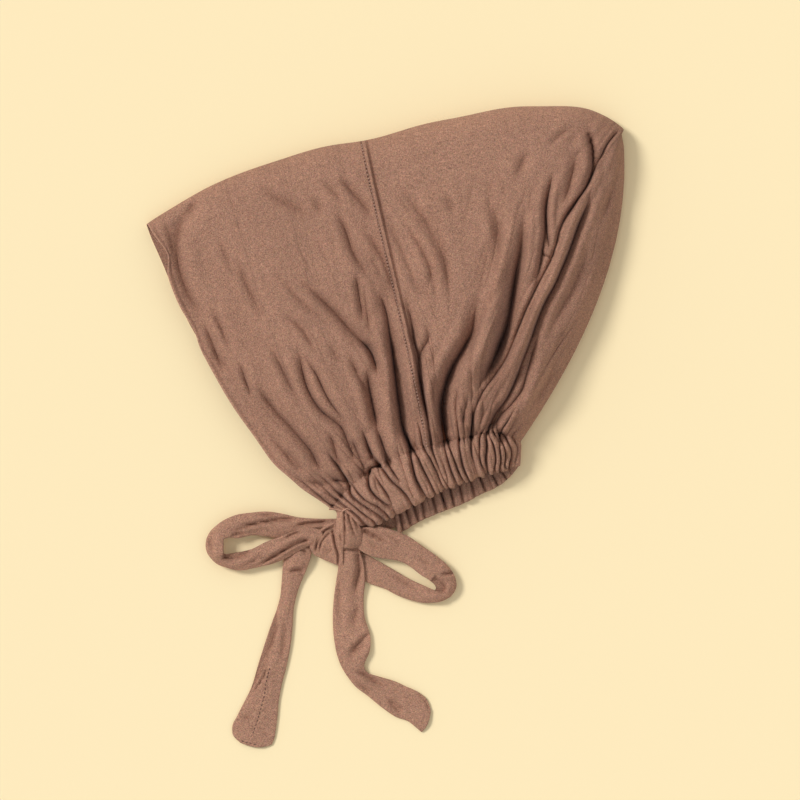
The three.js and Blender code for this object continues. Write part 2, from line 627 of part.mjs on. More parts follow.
// Each run of tie gives way to the knot and to the runs before it.
const RUNS = [
  { name: "tie_root_near", rows: NEAR_ROOT, scaleXY: wayTo(nearEnd) },
  { name: "tie_root_far", rows: FAR_ROOT, scaleXY: wayTo(farEnd) },
  { name: "bow_loop_left", rows: LEFT_LOOP, scaleXY: BOW_SPAN },
  { name: "bow_loop_right", rows: RIGHT_LOOP, scaleXY: BOW_SPAN },
  { name: "tie_tail_left", rows: LEFT_TAIL, scaleXY: TAIL_DROP },
  { name: "tie_tail_right", rows: RIGHT_TAIL, scaleXY: TAIL_DROP },
];
let taken = knotSolid(SEW_GAP);
for (const { name, rows, scaleXY } of RUNS) {
  const run = solidOf(tieRun(rows, knotCentre, scaleXY, TIE_WALL));
  addPiece(name, geometryOf(largest(run.subtract(taken))), CLOTH_COLOUR);
  taken = taken.add(solidOf(tieRun(rows, knotCentre, scaleXY, TIE_WALL, SEW_GAP)));
}

export default cap;
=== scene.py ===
import math

import bpy
import numpy as np
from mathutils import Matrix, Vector


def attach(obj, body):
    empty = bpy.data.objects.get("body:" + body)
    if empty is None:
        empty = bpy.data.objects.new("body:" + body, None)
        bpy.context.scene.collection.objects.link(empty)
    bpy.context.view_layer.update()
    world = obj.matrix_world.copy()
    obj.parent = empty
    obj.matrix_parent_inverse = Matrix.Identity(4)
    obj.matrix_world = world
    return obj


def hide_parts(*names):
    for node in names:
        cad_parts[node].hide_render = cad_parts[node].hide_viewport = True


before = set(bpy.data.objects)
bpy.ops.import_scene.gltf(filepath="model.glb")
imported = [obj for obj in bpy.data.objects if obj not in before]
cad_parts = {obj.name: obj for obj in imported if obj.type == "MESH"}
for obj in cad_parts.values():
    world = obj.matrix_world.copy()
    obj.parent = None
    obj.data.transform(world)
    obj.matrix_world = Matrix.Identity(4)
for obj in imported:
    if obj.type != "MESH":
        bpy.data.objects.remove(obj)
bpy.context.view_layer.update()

# Places on the cap are given on a drawing grid: x to the right and y down, one step is 0.63 mm.
# Heights, widths and depths are in millimetres. The near side of the cap lies up, the far side on the floor.
STEP_X = 0.63048
STEP_Y = 0.63084
GRID_X = 385.5
GRID_Y = 319.0


def mm(p):
    """Grid places as millimetres in the part's frame."""
    p = np.asarray(p, float)
    return np.stack([(p[..., 0] - GRID_X) * STEP_X, (GRID_Y - p[..., 1]) * STEP_Y], axis=-1)


# The section of the crown seam, and the greatest height of the near cloth before its folds.
SEAM_AT = 0.45
DEPTH = 38.0
# The cap's sections, from the face edge (0) to the back of the bag (1), each from the crown fold down to the
# line where the casing is sewn on. x and y are on the grid, and z is the height of the near cloth before its
# folds.
SECTIONS = [
    # at, crown, upper, lower, hem
    (0.00, (147, 222, 11), (187, 325, 12), (244, 423, 13), (331, 509, 11)),
    (0.15, (215, 183, 18), (250, 295, 22), (292, 398, 25), (350, 487, 19)),
    (0.30, (288, 157, 20), (318, 268, 27), (348, 372, 31), (384, 463, 26)),
    (0.45, (364, 141, 22), (386, 242, 30), (409, 342, 35), (430, 446, 28)),
    (0.58, (450, 119, 23), (448, 222, 33), (442, 333, 38), (451, 441, 29)),
    (0.70, (530, 107, 23), (510, 214, 33), (480, 325, 38), (467, 438, 29)),
    (0.78, (588, 110, 22), (540, 218, 32), (502, 328, 36), (474, 436, 28)),
    (0.85, (620.5, 127, 20), (562, 225, 30), (521, 330, 34), (482, 433, 27)),
    (0.93, (621.8, 134, 19), (592, 240, 25), (551, 342, 29), (501, 434, 24)),
    (1.00, (624.6, 146, 7), (612.8, 256, 11), (573, 356, 14), (521, 442, 14)),
]
# The neck at its sections: the near casing's free edge, the far casing's sewn line and its free edge.
NECK = [
    # at, near edge, far hem, far edge
    (0.00, (347, 516, 10), (383, 500, 1), (399, 533, 2.2)),
    (0.15, (369, 526, 14.5), (394, 491, 1), (408, 527, 2)),
    (0.30, (404, 510, 17.5), (408, 481, 1), (422, 519, 2)),
    (0.45, (441, 491, 18.5), (427, 473, 1), (441, 511, 2)),
    (0.58, (462, 483, 19), (448, 464, 1), (464, 502, 2)),
    (0.70, (479, 477, 19), (467, 456, 1), (481, 493, 2.2)),
    (0.85, (496, 472, 17.5), (488, 448, 1.5), (500, 484, 3.5)),
    (1.00, (520, 466, 10), (521, 442, 10), (520, 466, 10)),
]
# Height of the crown fold's middle, and how far from the crown fold the near and the far cloth start to round
# over. At the fold at the back that is BACK_ROLL at most.
FOLD_HEIGHT = 6.5
NEAR_ROLL = 19.0
FAR_ROLL = 9.0
BACK_ROLL = 13.0
# The fold at the back: the share that its middle has of the last section's heights, and how far that reaches.
BACK_LOW = 0.55
BACK_REACH = 19.5
# Thickness of the panels' cloth, and the height of a fold of depth 1.
WALL = 0.8
RELIEF = 2.6


def rows_of(table, column):
    """The first column of a table and one other, as arrays."""
    return np.array([row[0] for row in table], float), np.array([row[column] for row in table], float)


def through(at, values, s):
    """Smooth curve through values at the places at, read at s."""
    s = np.asarray(s, float)
    d = np.diff(values, axis=0) / np.diff(at)[:, None]
    m = np.empty_like(values)
    m[0] = d[0]
    m[-1] = d[-1]
    gaps = np.diff(at)
    m[1:-1] = (d[:-1] * gaps[1:, None] + d[1:] * gaps[:-1, None]) / (gaps[1:] + gaps[:-1])[:, None]
    i = np.clip(np.searchsorted(at, s, side="right") - 1, 0, len(at) - 2)
    span = gaps[i]
    f = ((s - at[i]) / span)[..., None]
    span = span[..., None]
    f2 = f * f
    f3 = f2 * f
    return (
        values[i] * (2 * f3 - 3 * f2 + 1)
        + m[i] * span * (f3 - 2 * f2 + f)
        + values[i + 1] * (3 * f2 - 2 * f3)
        + m[i + 1] * span * (f3 - f2)
    )


def ease(f):
    """Smooth step from 0 to 1."""
    f = np.clip(f, 0, 1)
    return f * f * (3 - 2 * f)


def bell(x, at, width):
    """Smooth bump of height 1 at a place, gone about two widths from it."""
    return np.exp(-(((x - at) / width) ** 2))


def distances(path, least=0.0):
    """Distance along a path at each of its points, with steps no shorter than least."""
    steps = np.linalg.norm(np.diff(path, axis=0), axis=1)
    return np.concatenate([[0], np.cumsum(np.maximum(steps, least))])


def rolled(distance, roll):
    """Quarter round from 0 at a fold to 1 at the distance roll from it."""
    left = 1 - np.clip(distance / roll, 0, 1)
    return np.sqrt(np.maximum(1 - left * left, 0))


RAILS = [rows_of(SECTIONS, k) for k in (4, 3, 2, 1)]
FAR_HEM = rows_of(NECK, 2)
FAR_EDGE = rows_of(NECK, 3)
NEAR_EDGE = rows_of(NECK, 1)


def section(s, t):
    """Grid place and height of the near cloth before its folds."""
    s, t = np.broadcast_arrays(s, t)
    third = t - 1 / 3
    second = t - 2 / 3
    weights = [
        -4.5 * third * second * (t - 1),
        13.5 * t * second * (t - 1),
        -13.5 * t * third * (t - 1),
        4.5 * t * third * second,
    ]
    total = 0
    for (at, values), w in zip(RAILS, weights):
        total = total + through(at, values, s) * w[..., None]
    return total


# Small corrections of the outline: a place on the grid, how far it moves and over what radius.
NUDGES = [
    ((152, 230), (-2.2, 0.6), 24),
    ((330, 150), (-0.6, -3.0), 34),
    ((420, 127), (0.0, -1.6), 34),
    ((510, 108), (0.0, -1.8), 40),
    ((580, 108), (0.4, -1.8), 30),
    ((616, 122), (1.2, -1.2), 18),
    ((210, 368), (1.2, -0.6), 34),
    ((272, 468), (-3.4, 2.6), 26),
    ((300, 492), (-1.6, 1.6), 16),
]


def plan(s, t, far):
    """Place in millimetres of the near or the far cloth."""
    here = section(s, t)[..., :2]
    if far:
        s, t = np.broadcast_arrays(s, t)
        slip = through(*FAR_HEM, s)[..., :2] - through(*RAILS[0], s)[..., :2]
        here = here + slip * ((1 - t) ** 3)[..., None]
    move = np.zeros_like(here)
    for place, shift, radius in NUDGES:
        off = here - np.array(place, float)
        near = np.exp(-(off**2).sum(axis=-1) / radius**2)
        move += near[..., None] * np.array(shift, float)
    return mm(here + move)


# Folds of the near cloth, as valleys (depth below 0) and ridges. Each runs through grid places from its tip
# downwards. left and right are its half widths, and rise and fall are the shares of its length over which it
# comes and goes.
FOLDS = [
    # places, left, right, depth, rise, fall
    # front
    (((332, 209), (339, 218), (346, 232), (351, 248), (359, 264), (368, 276), (373, 288)),
     3.2, 3.6, -2.4, 0.3, 0.4),
    (((355, 270), (358, 288), (361, 306), (365, 328)), 2.8, 2.8, -2.6, 0.3, 0.4),
    (((362, 275), (366, 300), (369, 325), (374, 345)), 1.4, 1.6, -0.8, 0.35, 0.5),
    (((358, 228), (370, 238), (379, 252), (387, 270), (393, 288), (397, 306)), 4.2, 3.6, -1.9, 0.35, 0.3),
    (((378, 290), (383, 302), (388, 318), (391, 336)), 2.6, 2.8, -2.6, 0.35, 0.6),
    (((379, 294), (386, 316), (391, 345), (395, 378), (399, 408), (404, 434), (411, 448)),
     3.6, 4.0, -13.0, 0.4, 0.0),
    (((294, 272), (305, 285), (315, 294), (326, 304), (338, 316), (350, 330), (361, 341), (369, 349),
      (375, 362), (379, 378)), 4.4, 3.4, -3.8, 0.35, 0.25),
    (((358, 340), (368, 348), (374, 361), (379, 378)), 2.4, 2.2, -3.6, 0.3, 0.4),
    (((270, 268), (281, 281), (291, 291), (302, 303), (314, 313), (327, 324), (340, 336)),
     2.8, 2.8, -0.9, 0.4, 0.4),
    (((366, 366), (369, 384), (372, 402), (376, 420), (379, 434)), 3.6, 3.4, -8.0, 0.3, 0.3),
    (((345, 354), (353, 364), (359, 377), (365, 391), (369, 402)), 2.8, 2.6, -1.7, 0.35, 0.4),
    (((280, 312), (290, 320), (298, 326), (305, 334), (311, 344), (318, 357)), 2.4, 2.4, -1.3, 0.4, 0.4),
    (((326, 340), (334, 352), (345, 366)), 2.4, 2.4, -0.6, 0.5, 0.5),
    (((293, 344), (299, 354), (302, 368), (306, 384), (313, 399), (322, 411), (333, 420), (342, 428),
      (347, 440), (351, 452), (356, 468)), 3.4, 3.0, -4.2, 0.25, 0.15),
    (((300, 350), (309, 363), (317, 376), (323, 389), (330, 402), (338, 412), (346, 423), (351, 436)),
     2.6, 2.8, -3.2, 0.3, 0.4),
    (((266, 338), (275, 354), (283, 370), (291, 385), (299, 399), (308, 414)), 2.8, 2.8, -1.3, 0.4, 0.5),
    (((254, 378), (261, 391), (270, 404), (281, 417), (292, 428), (302, 440), (311, 451), (318, 465),
      (325, 480)), 4.6, 3.8, -3.4, 0.25, 0.2),
    (((262, 425), (273, 438), (283, 451), (293, 464), (303, 478)), 2.6, 2.6, -0.9, 0.4, 0.3),
    (((328, 428), (334, 444), (338, 460), (343, 474)), 3.4, 3.0, -2.0, 0.35, 0.2),
    (((352, 436), (357, 450), (362, 462), (366, 474)), 3.0, 2.8, -4.0, 0.3, 0.0),
    (((362, 428), (367, 446), (372, 463)), 2.8, 2.4, -3.4, 0.4, 0.1),
    (((376, 426), (382, 444), (388, 462)), 2.0, 2.0, -2.6, 0.4, 0.0),
    (((236, 356), (242, 369), (246, 381), (250, 393), (253, 404)), 2.0, 2.0, -1.3, 0.4, 0.4),
    (((199, 318), (207, 332), (213, 345), (219, 362), (226, 378)), 2.6, 2.4, -1.5, 0.35, 0.5),
    (((204, 298), (213, 312), (220, 326), (227, 342), (236, 358)), 2.4, 2.6, -1.0, 0.4, 0.5),
    (((187, 206), (180, 222), (175, 240), (176, 258), (182, 279), (190, 298), (199, 313), (207, 329)),
     5.4, 4.2, -2.6, 0.2, 0.35),
    (((198, 196), (190, 208), (183, 224)), 4.0, 4.0, -2.0, 0.4, 0.5),
    (((168, 214), (166, 230), (169, 246), (174, 262)), 5.4, 5.0, -1.0, 0.3, 0.4),
    (((216, 230), (224, 250), (231, 270), (240, 288)), 3.4, 3.4, -0.6, 0.5, 0.5),
    (((230, 247), (238, 262), (244, 277), (251, 293), (260, 310), (272, 326)), 3.2, 3.2, -1.1, 0.4, 0.4),
    (((213, 346), (222, 362), (232, 378)), 3.4, 3.4, -0.8, 0.4, 0.5),
    (((310, 196), (318, 206), (324, 220)), 4.0, 4.0, -0.8, 0.5, 0.5),
    (((320, 182), (334, 193), (347, 206)), 2.8, 2.8, -0.8, 0.4, 0.4),
    (((336, 176), (348, 188), (359, 200), (368, 211), (376, 226)), 3.2, 3.0, -2.0, 0.3, 0.4),
    (((258, 178), (266, 190), (278, 200), (293, 207), (308, 215), (322, 225)), 3.8, 3.6, -1.2, 0.4, 0.4),
    (((366, 250), (376, 268), (386, 286)), 2.4, 2.4, -0.8, 0.5, 0.5),
    (((282, 446), (295, 460), (307, 478)), 2.8, 2.8, -1.2, 0.4, 0.4),
    (((300, 478), (318, 484), (338, 482)), 2.8, 3.2, -1.8, 0.5, 0.4),
    (((330, 482), (340, 481), (350, 485)), 2.4, 2.8, -6.0, 0.4, 0.4),
    # beside the crown seam
    (((404, 285), (410, 315), (414, 340), (418, 358), (420, 378), (423, 396), (427, 416), (430, 434)),
     2.0, 2.4, -5.0, 0.4, 0.2),
    (((431, 330), (426, 343), (420, 357), (418, 372)), 2.2, 2.4, -2.4, 0.4, 0.5),
    (((400, 188), (415, 208), (427, 224), (434, 241), (438, 260)), 3.6, 3.6, -1.3, 0.4, 0.5),
    (((400, 214), (413, 236), (424, 254), (431, 272), (435, 292), (437, 318)), 2.2, 2.2, -1.1, 0.4, 0.5),
    (((430, 222), (439, 241), (445, 262), (448, 286), (450, 314)), 3.8, 3.4, -1.3, 0.4, 0.5),
    (((440, 190), (449, 204), (458, 220)), 3.0, 3.0, -0.7, 0.5, 0.5),
    (((436, 370), (432, 392), (434, 415)), 1.8, 1.8, -1.6, 0.5, 0.5),
    # back
    (((478, 290), (475, 312), (471, 334), (461, 352), (452, 368), (445, 386), (441, 404), (442, 422),
      (446, 440)), 4.8, 4.4, -13.0, 0.45, 0.0),
    (((456, 352), (449, 374), (445, 394), (444, 414), (448, 436)), 4.4, 4.4, -6.0, 0.35, 0.1),
    (((507, 318), (501, 340), (494, 358), (486, 374), (479, 390)), 4.4, 4.2, -6.0, 0.35, 0.35),
    (((484, 192), (492, 210), (498, 228), (499, 246), (495, 268), (490, 292)), 3.8, 3.6, -1.6, 0.4, 0.5),
    (((519, 203), (522, 225), (520, 248), (516, 270), (513, 292), (510, 312), (505, 332), (499, 348),
      (492, 364), (484, 378), (476, 392)), 5.2, 4.6, -12.5, 0.5, 0.3),
    (((530, 148), (522, 164), (514, 184)), 3.4, 3.4, -1.0, 0.5, 0.5),
    (((556, 168), (548, 185), (544, 210), (544, 236), (541, 256), (538, 272), (533, 287), (527, 300)),
     2.2, 2.0, -4.5, 0.35, 0.35),
    (((553, 172), (550, 188), (547, 206), (546.5, 222), (548, 240), (551, 254)), 1.5, 1.4, -3.2, 0.3, 0.15),
    (((540, 251), (545, 256), (551, 258)), 1.0, 0.9, -1.6, 0.3, 0.1),
    (((578, 148), (573, 170), (568, 190), (561, 212)), 3.4, 2.8, -1.8, 0.4, 0.4),
    (((545, 150), (558, 138), (571, 129), (583, 128)), 1.6, 1.8, -0.8, 0.4, 0.3),
    (((583, 127), (590, 139), (593, 154), (592, 170), (585, 188), (575, 205), (565, 220), (558, 236)),
     2.6, 2.0, -8.0, 0.14, 0.35),
    (((594, 178), (586, 205), (577, 228), (569, 250), (561, 269), (554, 285), (545, 301), (537, 320),
      (530, 340), (523, 358), (516, 378), (507, 398), (496, 412), (489, 426)), 2.0, 2.4, -7.5, 0.2, 0.0),
    # the back seam, whose right side laps over the left
    (((621, 128), (613, 137), (605, 148), (599, 161), (594, 173), (587, 188), (575, 204), (565, 218),
      (559, 232), (555, 248), (550, 262), (542, 278), (534, 292), (527, 307), (520, 325), (513, 344),
      (507, 358), (496, 375), (483, 392), (476, 407), (473, 420), (473, 431)), 1.6, 0.75, -3.6, 0.03, 0.03),
    (((541, 330), (533, 352), (527, 372), (521, 390), (511, 405), (502, 415), (497, 427), (501, 440)),
     2.2, 2.4, -6.5, 0.3, 0.0),
    (((606, 144), (602, 158), (596, 178)), 1.8, 1.8, -1.4, 0.4, 0.5),
    (((588, 235), (583, 260), (575, 282), (565, 302), (553, 324), (546, 346)), 5.0, 5.0, -1.7, 0.4, 0.4),
    (((556, 358), (549, 378), (539, 395), (529, 412)), 3.2, 3.2, -1.4, 0.4, 0.4),
    (((468, 392), (464, 410), (461, 428)), 2.0, 2.0, -1.8, 0.4, 0.1),
    (((460, 378), (457, 398), (455, 420)), 2.2, 2.2, -1.4, 0.5, 0.3),
    (((471, 404), (471, 420), (471, 436)), 1.8, 1.8, -3.0, 0.4, 0.0),
    (((614, 180), (606, 205), (598, 225)), 3.4, 3.4, -0.9, 0.5, 0.5),
    # ridges
    (((520, 190), (505, 250), (492, 300), (480, 340), (462, 380), (456, 410)), 5.2, 5.2, 2.6, 0.35, 0.3),
    (((536, 190), (531, 230), (528, 262), (518, 300), (508, 345), (496, 372)), 3.2, 3.2, 2.2, 0.35, 0.35),
    (((600, 152), (585, 190), (571, 222), (562, 250), (551, 278), (540, 300), (530, 322), (520, 345),
      (508, 370), (494, 394), (484, 414)), 2.6, 2.6, 2.4, 0.2, 0.3),
    (((386, 330), (388, 360), (389, 400), (393, 430)), 3.0, 3.0, 1.5, 0.4, 0.3),
    (((409, 360), (412, 395), (416, 425)), 2.8, 2.8, 1.6, 0.4, 0.3),
    (((424, 365), (428, 395), (434, 425)), 2.6, 2.6, 1.4, 0.4, 0.3),
]
# Pleats of the near casing, from just above its stitch line to its free edge.
PLEATS = [
    # places, left, right, depth, rise, fall
    (((344, 474), (349, 485), (352, 495), (362, 504), (374, 512), (384, 520)), 1.6, 0.9, -2.8, 0.2, 0.0),
    (((352, 484), (360, 495), (370, 503), (380, 508), (389, 517)), 1.4, 0.7, -2.2, 0.3, 0.0),
    (((334, 497), (348, 508), (358, 516), (367, 526)), 1.4, 0.7, -1.6, 0.3, 0.0),
    (((340, 494), (353, 505), (364, 514), (376, 523)), 1.2, 0.6, -1.6, 0.3, 0.0),
    (((330, 504), (345, 513), (357, 524)), 1.2, 0.6, -1.3, 0.3, 0.0),
    (((380, 466), (372, 467), (369, 477), (370, 488), (377, 497), (387, 505), (397, 512)),
     1.6, 0.9, -3.6, 0.3, 0.1),
    (((379, 482), (386, 492), (393, 502)), 1.4, 0.7, -1.4, 0.4, 0.3),
    (((374, 459), (384, 470), (392, 481), (401, 489), (408, 497), (413, 507)), 1.6, 0.8, -2.8, 0.2, 0.0),
    (((386, 461), (394, 473), (403, 484)), 1.1, 0.6, -1.4, 0.3, 0.4),
    (((410, 450), (413, 466), (416, 478), (421, 488), (427, 499)), 1.9, 0.9, -3.8, 0.2, 0.0),
    (((411, 444), (418, 458), (424, 470), (430, 482), (435, 493)), 1.5, 0.7, -2.8, 0.2, 0.0),
    (((423, 445), (430, 458), (436, 470), (441, 482), (446, 491)), 1.4, 0.7, -2.3, 0.2, 0.0),
    (((432, 449), (438, 465), (444, 480), (449, 489)), 1.1, 0.6, -1.7, 0.3, 0.0),
    (((443, 440), (447, 456), (451, 470), (457, 485)), 1.4, 0.7, -2.6, 0.2, 0.0),
    (((449, 446), (455, 462), (461, 476), (466, 484)), 1.1, 0.6, -1.7, 0.3, 0.0),
    (((459, 434), (460, 450), (463, 466), (469, 480)), 1.4, 0.7, -2.8, 0.2, 0.0),
    (((471, 430), (471, 444), (472, 456), (475, 466)), 1.5, 0.7, -3.6, 0.2, 0.4),
    (((481, 434), (480, 452), (482, 466), (486, 474)), 1.2, 0.6, -1.9, 0.3, 0.0),
    (((487, 430), (487, 446), (486, 460), (488, 472)), 1.8, 0.9, -4.0, 0.2, 0.0),
    (((489, 431), (494, 446), (496, 459), (494, 472)), 1.1, 0.6, -2.0, 0.2, 0.0),
    (((493, 428), (499, 444), (501, 457), (500, 471)), 1.2, 0.6, -2.6, 0.2, 0.0),
    (((499, 436), (505, 450), (505, 466)), 1.1, 0.6, -1.9, 0.3, 0.0),
    (((502, 430), (509, 443), (512, 453), (509, 468)), 1.2, 0.6, -1.8, 0.3, 0.0),
    (((512, 436), (517, 447), (515, 462)), 1.1, 0.6, -1.2, 0.3, 0.0),
]
# Pleats of the far casing, whose inner face shows below the near one.
FAR_PLEATS = [
    # places, left, right, depth, rise, fall
    (((388, 500), (392, 512), (396, 530)), 1.1, 1.1, -1.8, 0.3, 0.0),
    (((397, 500), (399, 514), (402, 530)), 1.1, 1.1, -2.2, 0.3, 0.0),
    (((403, 496), (406, 512), (411, 527)), 1.1, 1.1, -2.2, 0.3, 0.0),
    (((410, 494), (414, 508), (419, 523)), 1.1, 1.1, -2.0, 0.3, 0.0),
    (((419, 488), (421, 500), (424, 518)), 1.1, 1.1, -1.8, 0.3, 0.0),
    (((429, 484), (432, 498), (436, 514)), 1.1, 1.1, -2.0, 0.3, 0.0),
    (((438, 480), (441, 494), (446, 509)), 1.1, 1.1, -2.0, 0.3, 0.0),
    (((447, 474), (450, 490), (454, 506)), 1.0, 1.0, -1.7, 0.3, 0.0),
    (((457, 470), (459, 484), (463, 502)), 1.1, 1.1, -2.2, 0.3, 0.0),
    (((467, 465), (470, 480), (474, 497)), 1.1, 1.1, -2.2, 0.3, 0.0),
    (((476, 462), (480, 478), (485, 491)), 1.0, 1.0, -1.8, 0.3, 0.0),
    (((486, 458), (491, 472), (497, 484)), 1.0, 1.0, -1.8, 0.3, 0.0),
    (((496, 456), (501, 470), (508, 480)), 1.0, 1.0, -1.6, 0.3, 0.0),
]


def run_up(pleat, climb):
    """A pleat of the casing with its path carried on up the panel, by a share of the section's length."""
    places, left, right, depth, rise, fall = pleat
    s = np.linspace(0.02, 0.99, 120)
    hem = section(s, np.zeros_like(s))[:, :2]
    first = np.array(places[0], float)
    k = np.argmin(np.linalg.norm(hem - first, axis=1))
    shares = np.array([1.0, 0.66, 0.33]) * climb
    above = section(np.full(3, s[k]), shares)[:, :2] - hem[k] + first
    path = np.concatenate([above, np.array(places, float)])
    steps = np.linalg.norm(np.diff(path, axis=0), axis=1)
    return path, left, right, depth, steps[:3].sum() / steps.sum(), fall


# How far each pleat runs on up the panel, as a share of the section there.
CLIMB = np.random.RandomState(3).uniform(0.05, 0.17, len(PLEATS))
PLEATS = [run_up(pleat, climb) for pleat, climb in zip(PLEATS, CLIMB)]


def smooth_path(places, steps):
    """Points along a smooth curve through grid places, in millimetres."""
    p = mm(places)
    d = distances(p)
    return through(d, p, np.linspace(0, d[-1], steps))


# Across a fold: how sharp it is and, in its half widths, where the bank beside it lies, how wide the bank is
# and how wide the painted shade at its bottom is.
SHARPNESS = 1.25
BANK_AT = 2.3
BANK_WIDTH = 1.1
SHADE_CORE_WIDTH = 0.62
# Beyond this many half widths a fold adds nothing.
FOLD_REACH = 5.2
# The most shade painted at the bottom of a crease.
SHADE_LIMIT = 1.6


def fold_relief(xy, folds):
    """Height in millimetres that folds add at places xy, and the shade painted at the bottoms of their
    creases.
    """
    shape = xy.shape[:-1]
    flat = xy.reshape(-1, 2)
    height = np.zeros(len(flat))
    crease_shade = np.zeros(len(flat))
    for places, left, right, depth, rise, fall in folds:
        line = smooth_path(places, 6 * len(places))
        reach = FOLD_REACH * max(left, right)
        near = np.flatnonzero(
            (flat[:, 0] > line[:, 0].min() - reach)
            & (flat[:, 0] < line[:, 0].max() + reach)
            & (flat[:, 1] > line[:, 1].min() - reach)
            & (flat[:, 1] < line[:, 1].max() + reach)
        )
        if not len(near):
            continue
        q = flat[near]
        best = np.full(len(q), 1e9)
        side = np.zeros(len(q))
        share = np.zeros(len(q))
        count = len(line) - 1
        for i in range(count):
            a = line[i]
            ab = line[i + 1] - a
            f = np.clip(((q - a) @ ab) / (ab @ ab), 0, 1)
            off = q - a - f[:, None] * ab
            dist = np.hypot(off[:, 0], off[:, 1])
            closer = dist < best
            best = np.where(closer, dist, best)
            turn = ab[0] * off[:, 1] - ab[1] * off[:, 0]
            side = np.where(closer, turn, side)
            share = np.where(closer, (i + f) / count, share)
        soft = min(max((3 - abs(depth)) / 2, 0), 1)
        slim = 0.72 + 0.14 * min(abs(depth) / 5, 1) + 0.2 * soft
        width = np.where(side > 0, right * 1.2, left * 0.85) * slim
        come = ease(share / max(rise, 0.45 * soft)) if rise > 0 else 1.0
        go = ease((1 - share) / max(fall, 0.45 * soft)) if fall > 0 else 1.0
        crease = np.exp(-((best / width) ** (SHARPNESS + 0.4 * soft)))
        bank = 0.24 * bell(best, BANK_AT * width, BANK_WIDTH * width)
        strength = RELIEF * math.copysign(abs(depth) ** 0.56, depth)
        height[near] += strength * come * go * (crease - bank)
        # The dark core at the bottom of a valley is painted shade.
        core = np.exp(-((best / (SHADE_CORE_WIDTH * width)) ** 1.6))
        crease_shade[near] = np.maximum(crease_shade[near], -strength / 6.5 * come * go * core)
    return height.reshape(shape), crease_shade.reshape(shape)


# The noise repeats after this many steps.
NOISE_SIZE = 64


def ripple(u, v, seed):
    """Smooth noise from -1 to 1 over the plane."""
    table = np.random.RandomState(seed).rand(NOISE_SIZE, NOISE_SIZE) * 2 - 1
    iu = np.floor(u).astype(int)
    iv = np.floor(v).astype(int)
    fu = ease(u - iu)
    fv = ease(v - iv)

    def between(j):
        left = table[iu % NOISE_SIZE, j % NOISE_SIZE]
        right = table[(iu + 1) % NOISE_SIZE, j % NOISE_SIZE]
        return left * (1 - fu) + right * fu

    return between(iv) * (1 - fv) + between(iv + 1) * fv


# Random gathers along the neck: how many, and how far above the stitch line they are twice as wide.
GATHER_COUNT = 46
GATHER_OPENING = 18


def make_gathers():
    """Rows of section, half width, depth, run up the cap and drift along the neck."""
    pick = np.random.RandomState(7)
    table = []
    for k in range(GATHER_COUNT):
        at = 0.05 + 0.94 * ((k + pick.rand() * 0.9) / GATHER_COUNT)
        half = 0.8 + 0.7 * pick.rand()
        depth = 1.2 + 2.4 * pick.rand()
        run = 8 + 30 * pick.rand() ** 1.5
        drift = (pick.rand() - 0.5) * 0.0016
        table.append((at, half, depth, run, drift))
    return table


GATHERS = make_gathers()


def gathers(s, up, span):
    """Height of the random gathers. up is the distance above the stitch line, and span is mm a section."""
    height = 0
    above = np.maximum(up, 0)
    open_up = 1 + above / GATHER_OPENING
    for at, half, depth, run, drift in GATHERS:
        off = np.abs(s - at - drift * up) * span / (half * open_up)
        fade = np.where(up > 0, np.exp(-((above / run) ** 1.5)), 0.45 + 0.55 * np.exp(up / 3))
        height = height - depth * fade * np.exp(-(off**1.3))
    return height


def wrinkles(s, t, far):
    """Small wrinkles, mostly close to the neck."""
    s, t = np.broadcast_arrays(s, t)
    seed = 20 if far else 10
    fan = 0.45 + 0.55 * ease((s - 0.2) / 0.5)
    low = np.exp(-t / 0.3)
    bend = 2.2 * ripple(s * 5, t * 3, seed + 3) + 0.8 * ripple(s * 13, t * 8, seed + 7)
    mid = 1 - 2 * np.abs(ripple(s * 22 + bend, t * 3 + 0.5 * bend, seed + 4))
    fine = 1 - 2 * np.abs(ripple(s * 50 + 2 * bend, t * 6 + bend, seed + 2))
    soft = ripple(s * 9 + 0.4 * bend, t * 3.2, seed + 5)
    small = ripple(s * 19 + bend, t * 7 + bend, seed + 8)
    return (
        fine * (0.03 + 0.4 * low) * fan
        + mid * (0.06 + 0.8 * low) * fan
        + soft * 0.7
        + small * 0.22
        + 0.1 * ripple(s * 70, t * 50, seed + 6)
    )


# Fine creases all over the cap: how many per section unit, how often they come and go, and their depth in mm.
FINE_CREASES = [
    # pitch, run, depth
    (34, 2.6, 1.0),
    (58, 4.5, 0.6),
]


def fine_creases(s, t, seed):
    """Narrow valleys, 0 or lower, that run down the cap and drift to the crown seam on the front panel."""
    lay = s + 0.18 * (1 - ease((s - 0.3) / 0.35)) * t
    bend = 0.6 * ripple(lay * 9, t * 4, seed)
    total = 0
    for pitch, run, depth in FINE_CREASES:
        line = ripple(lay * pitch + 2 * bend, t * run + bend, seed + pitch)
        shown = ease(0.35 + 1.2 * ripple(lay * pitch / 4, t * run * 1.3, seed + pitch + 1))
        total = total - depth * shown * np.clip(1 - 2.4 * np.abs(line), 0, 1) ** 1.5
    return total * (0.5 + 0.9 * np.exp(-t / 0.4)) * (0.6 + 0.4 * ease((s - 0.08) / 0.3))


def near_height(xy, s, up, span):
    """Height that folds, pleats and gathers add to the near cloth and its casing, and the shade painted in
    them.
    """
    calm = ease((s - 0.02) / 0.12)
    bulge = 1.6 * bell(up, 7.0, 5.0) + 1.8 * bell(up, -10.0, 8.0)
    folds, fold_crease_shade = fold_relief(xy, FOLDS)
    pleats, pleat_crease_shade = fold_relief(xy, PLEATS)
    gathered = gathers(s, up, span)
    # Painted shade at the bottoms of folds, pleats and gathers.
    crease_shade = np.maximum(np.maximum(fold_crease_shade, pleat_crease_shade), calm * np.clip(-gathered / 9, 0, 0.5))
    return folds + 1.4 * pleats + calm * (gathered + bulge), crease_shade


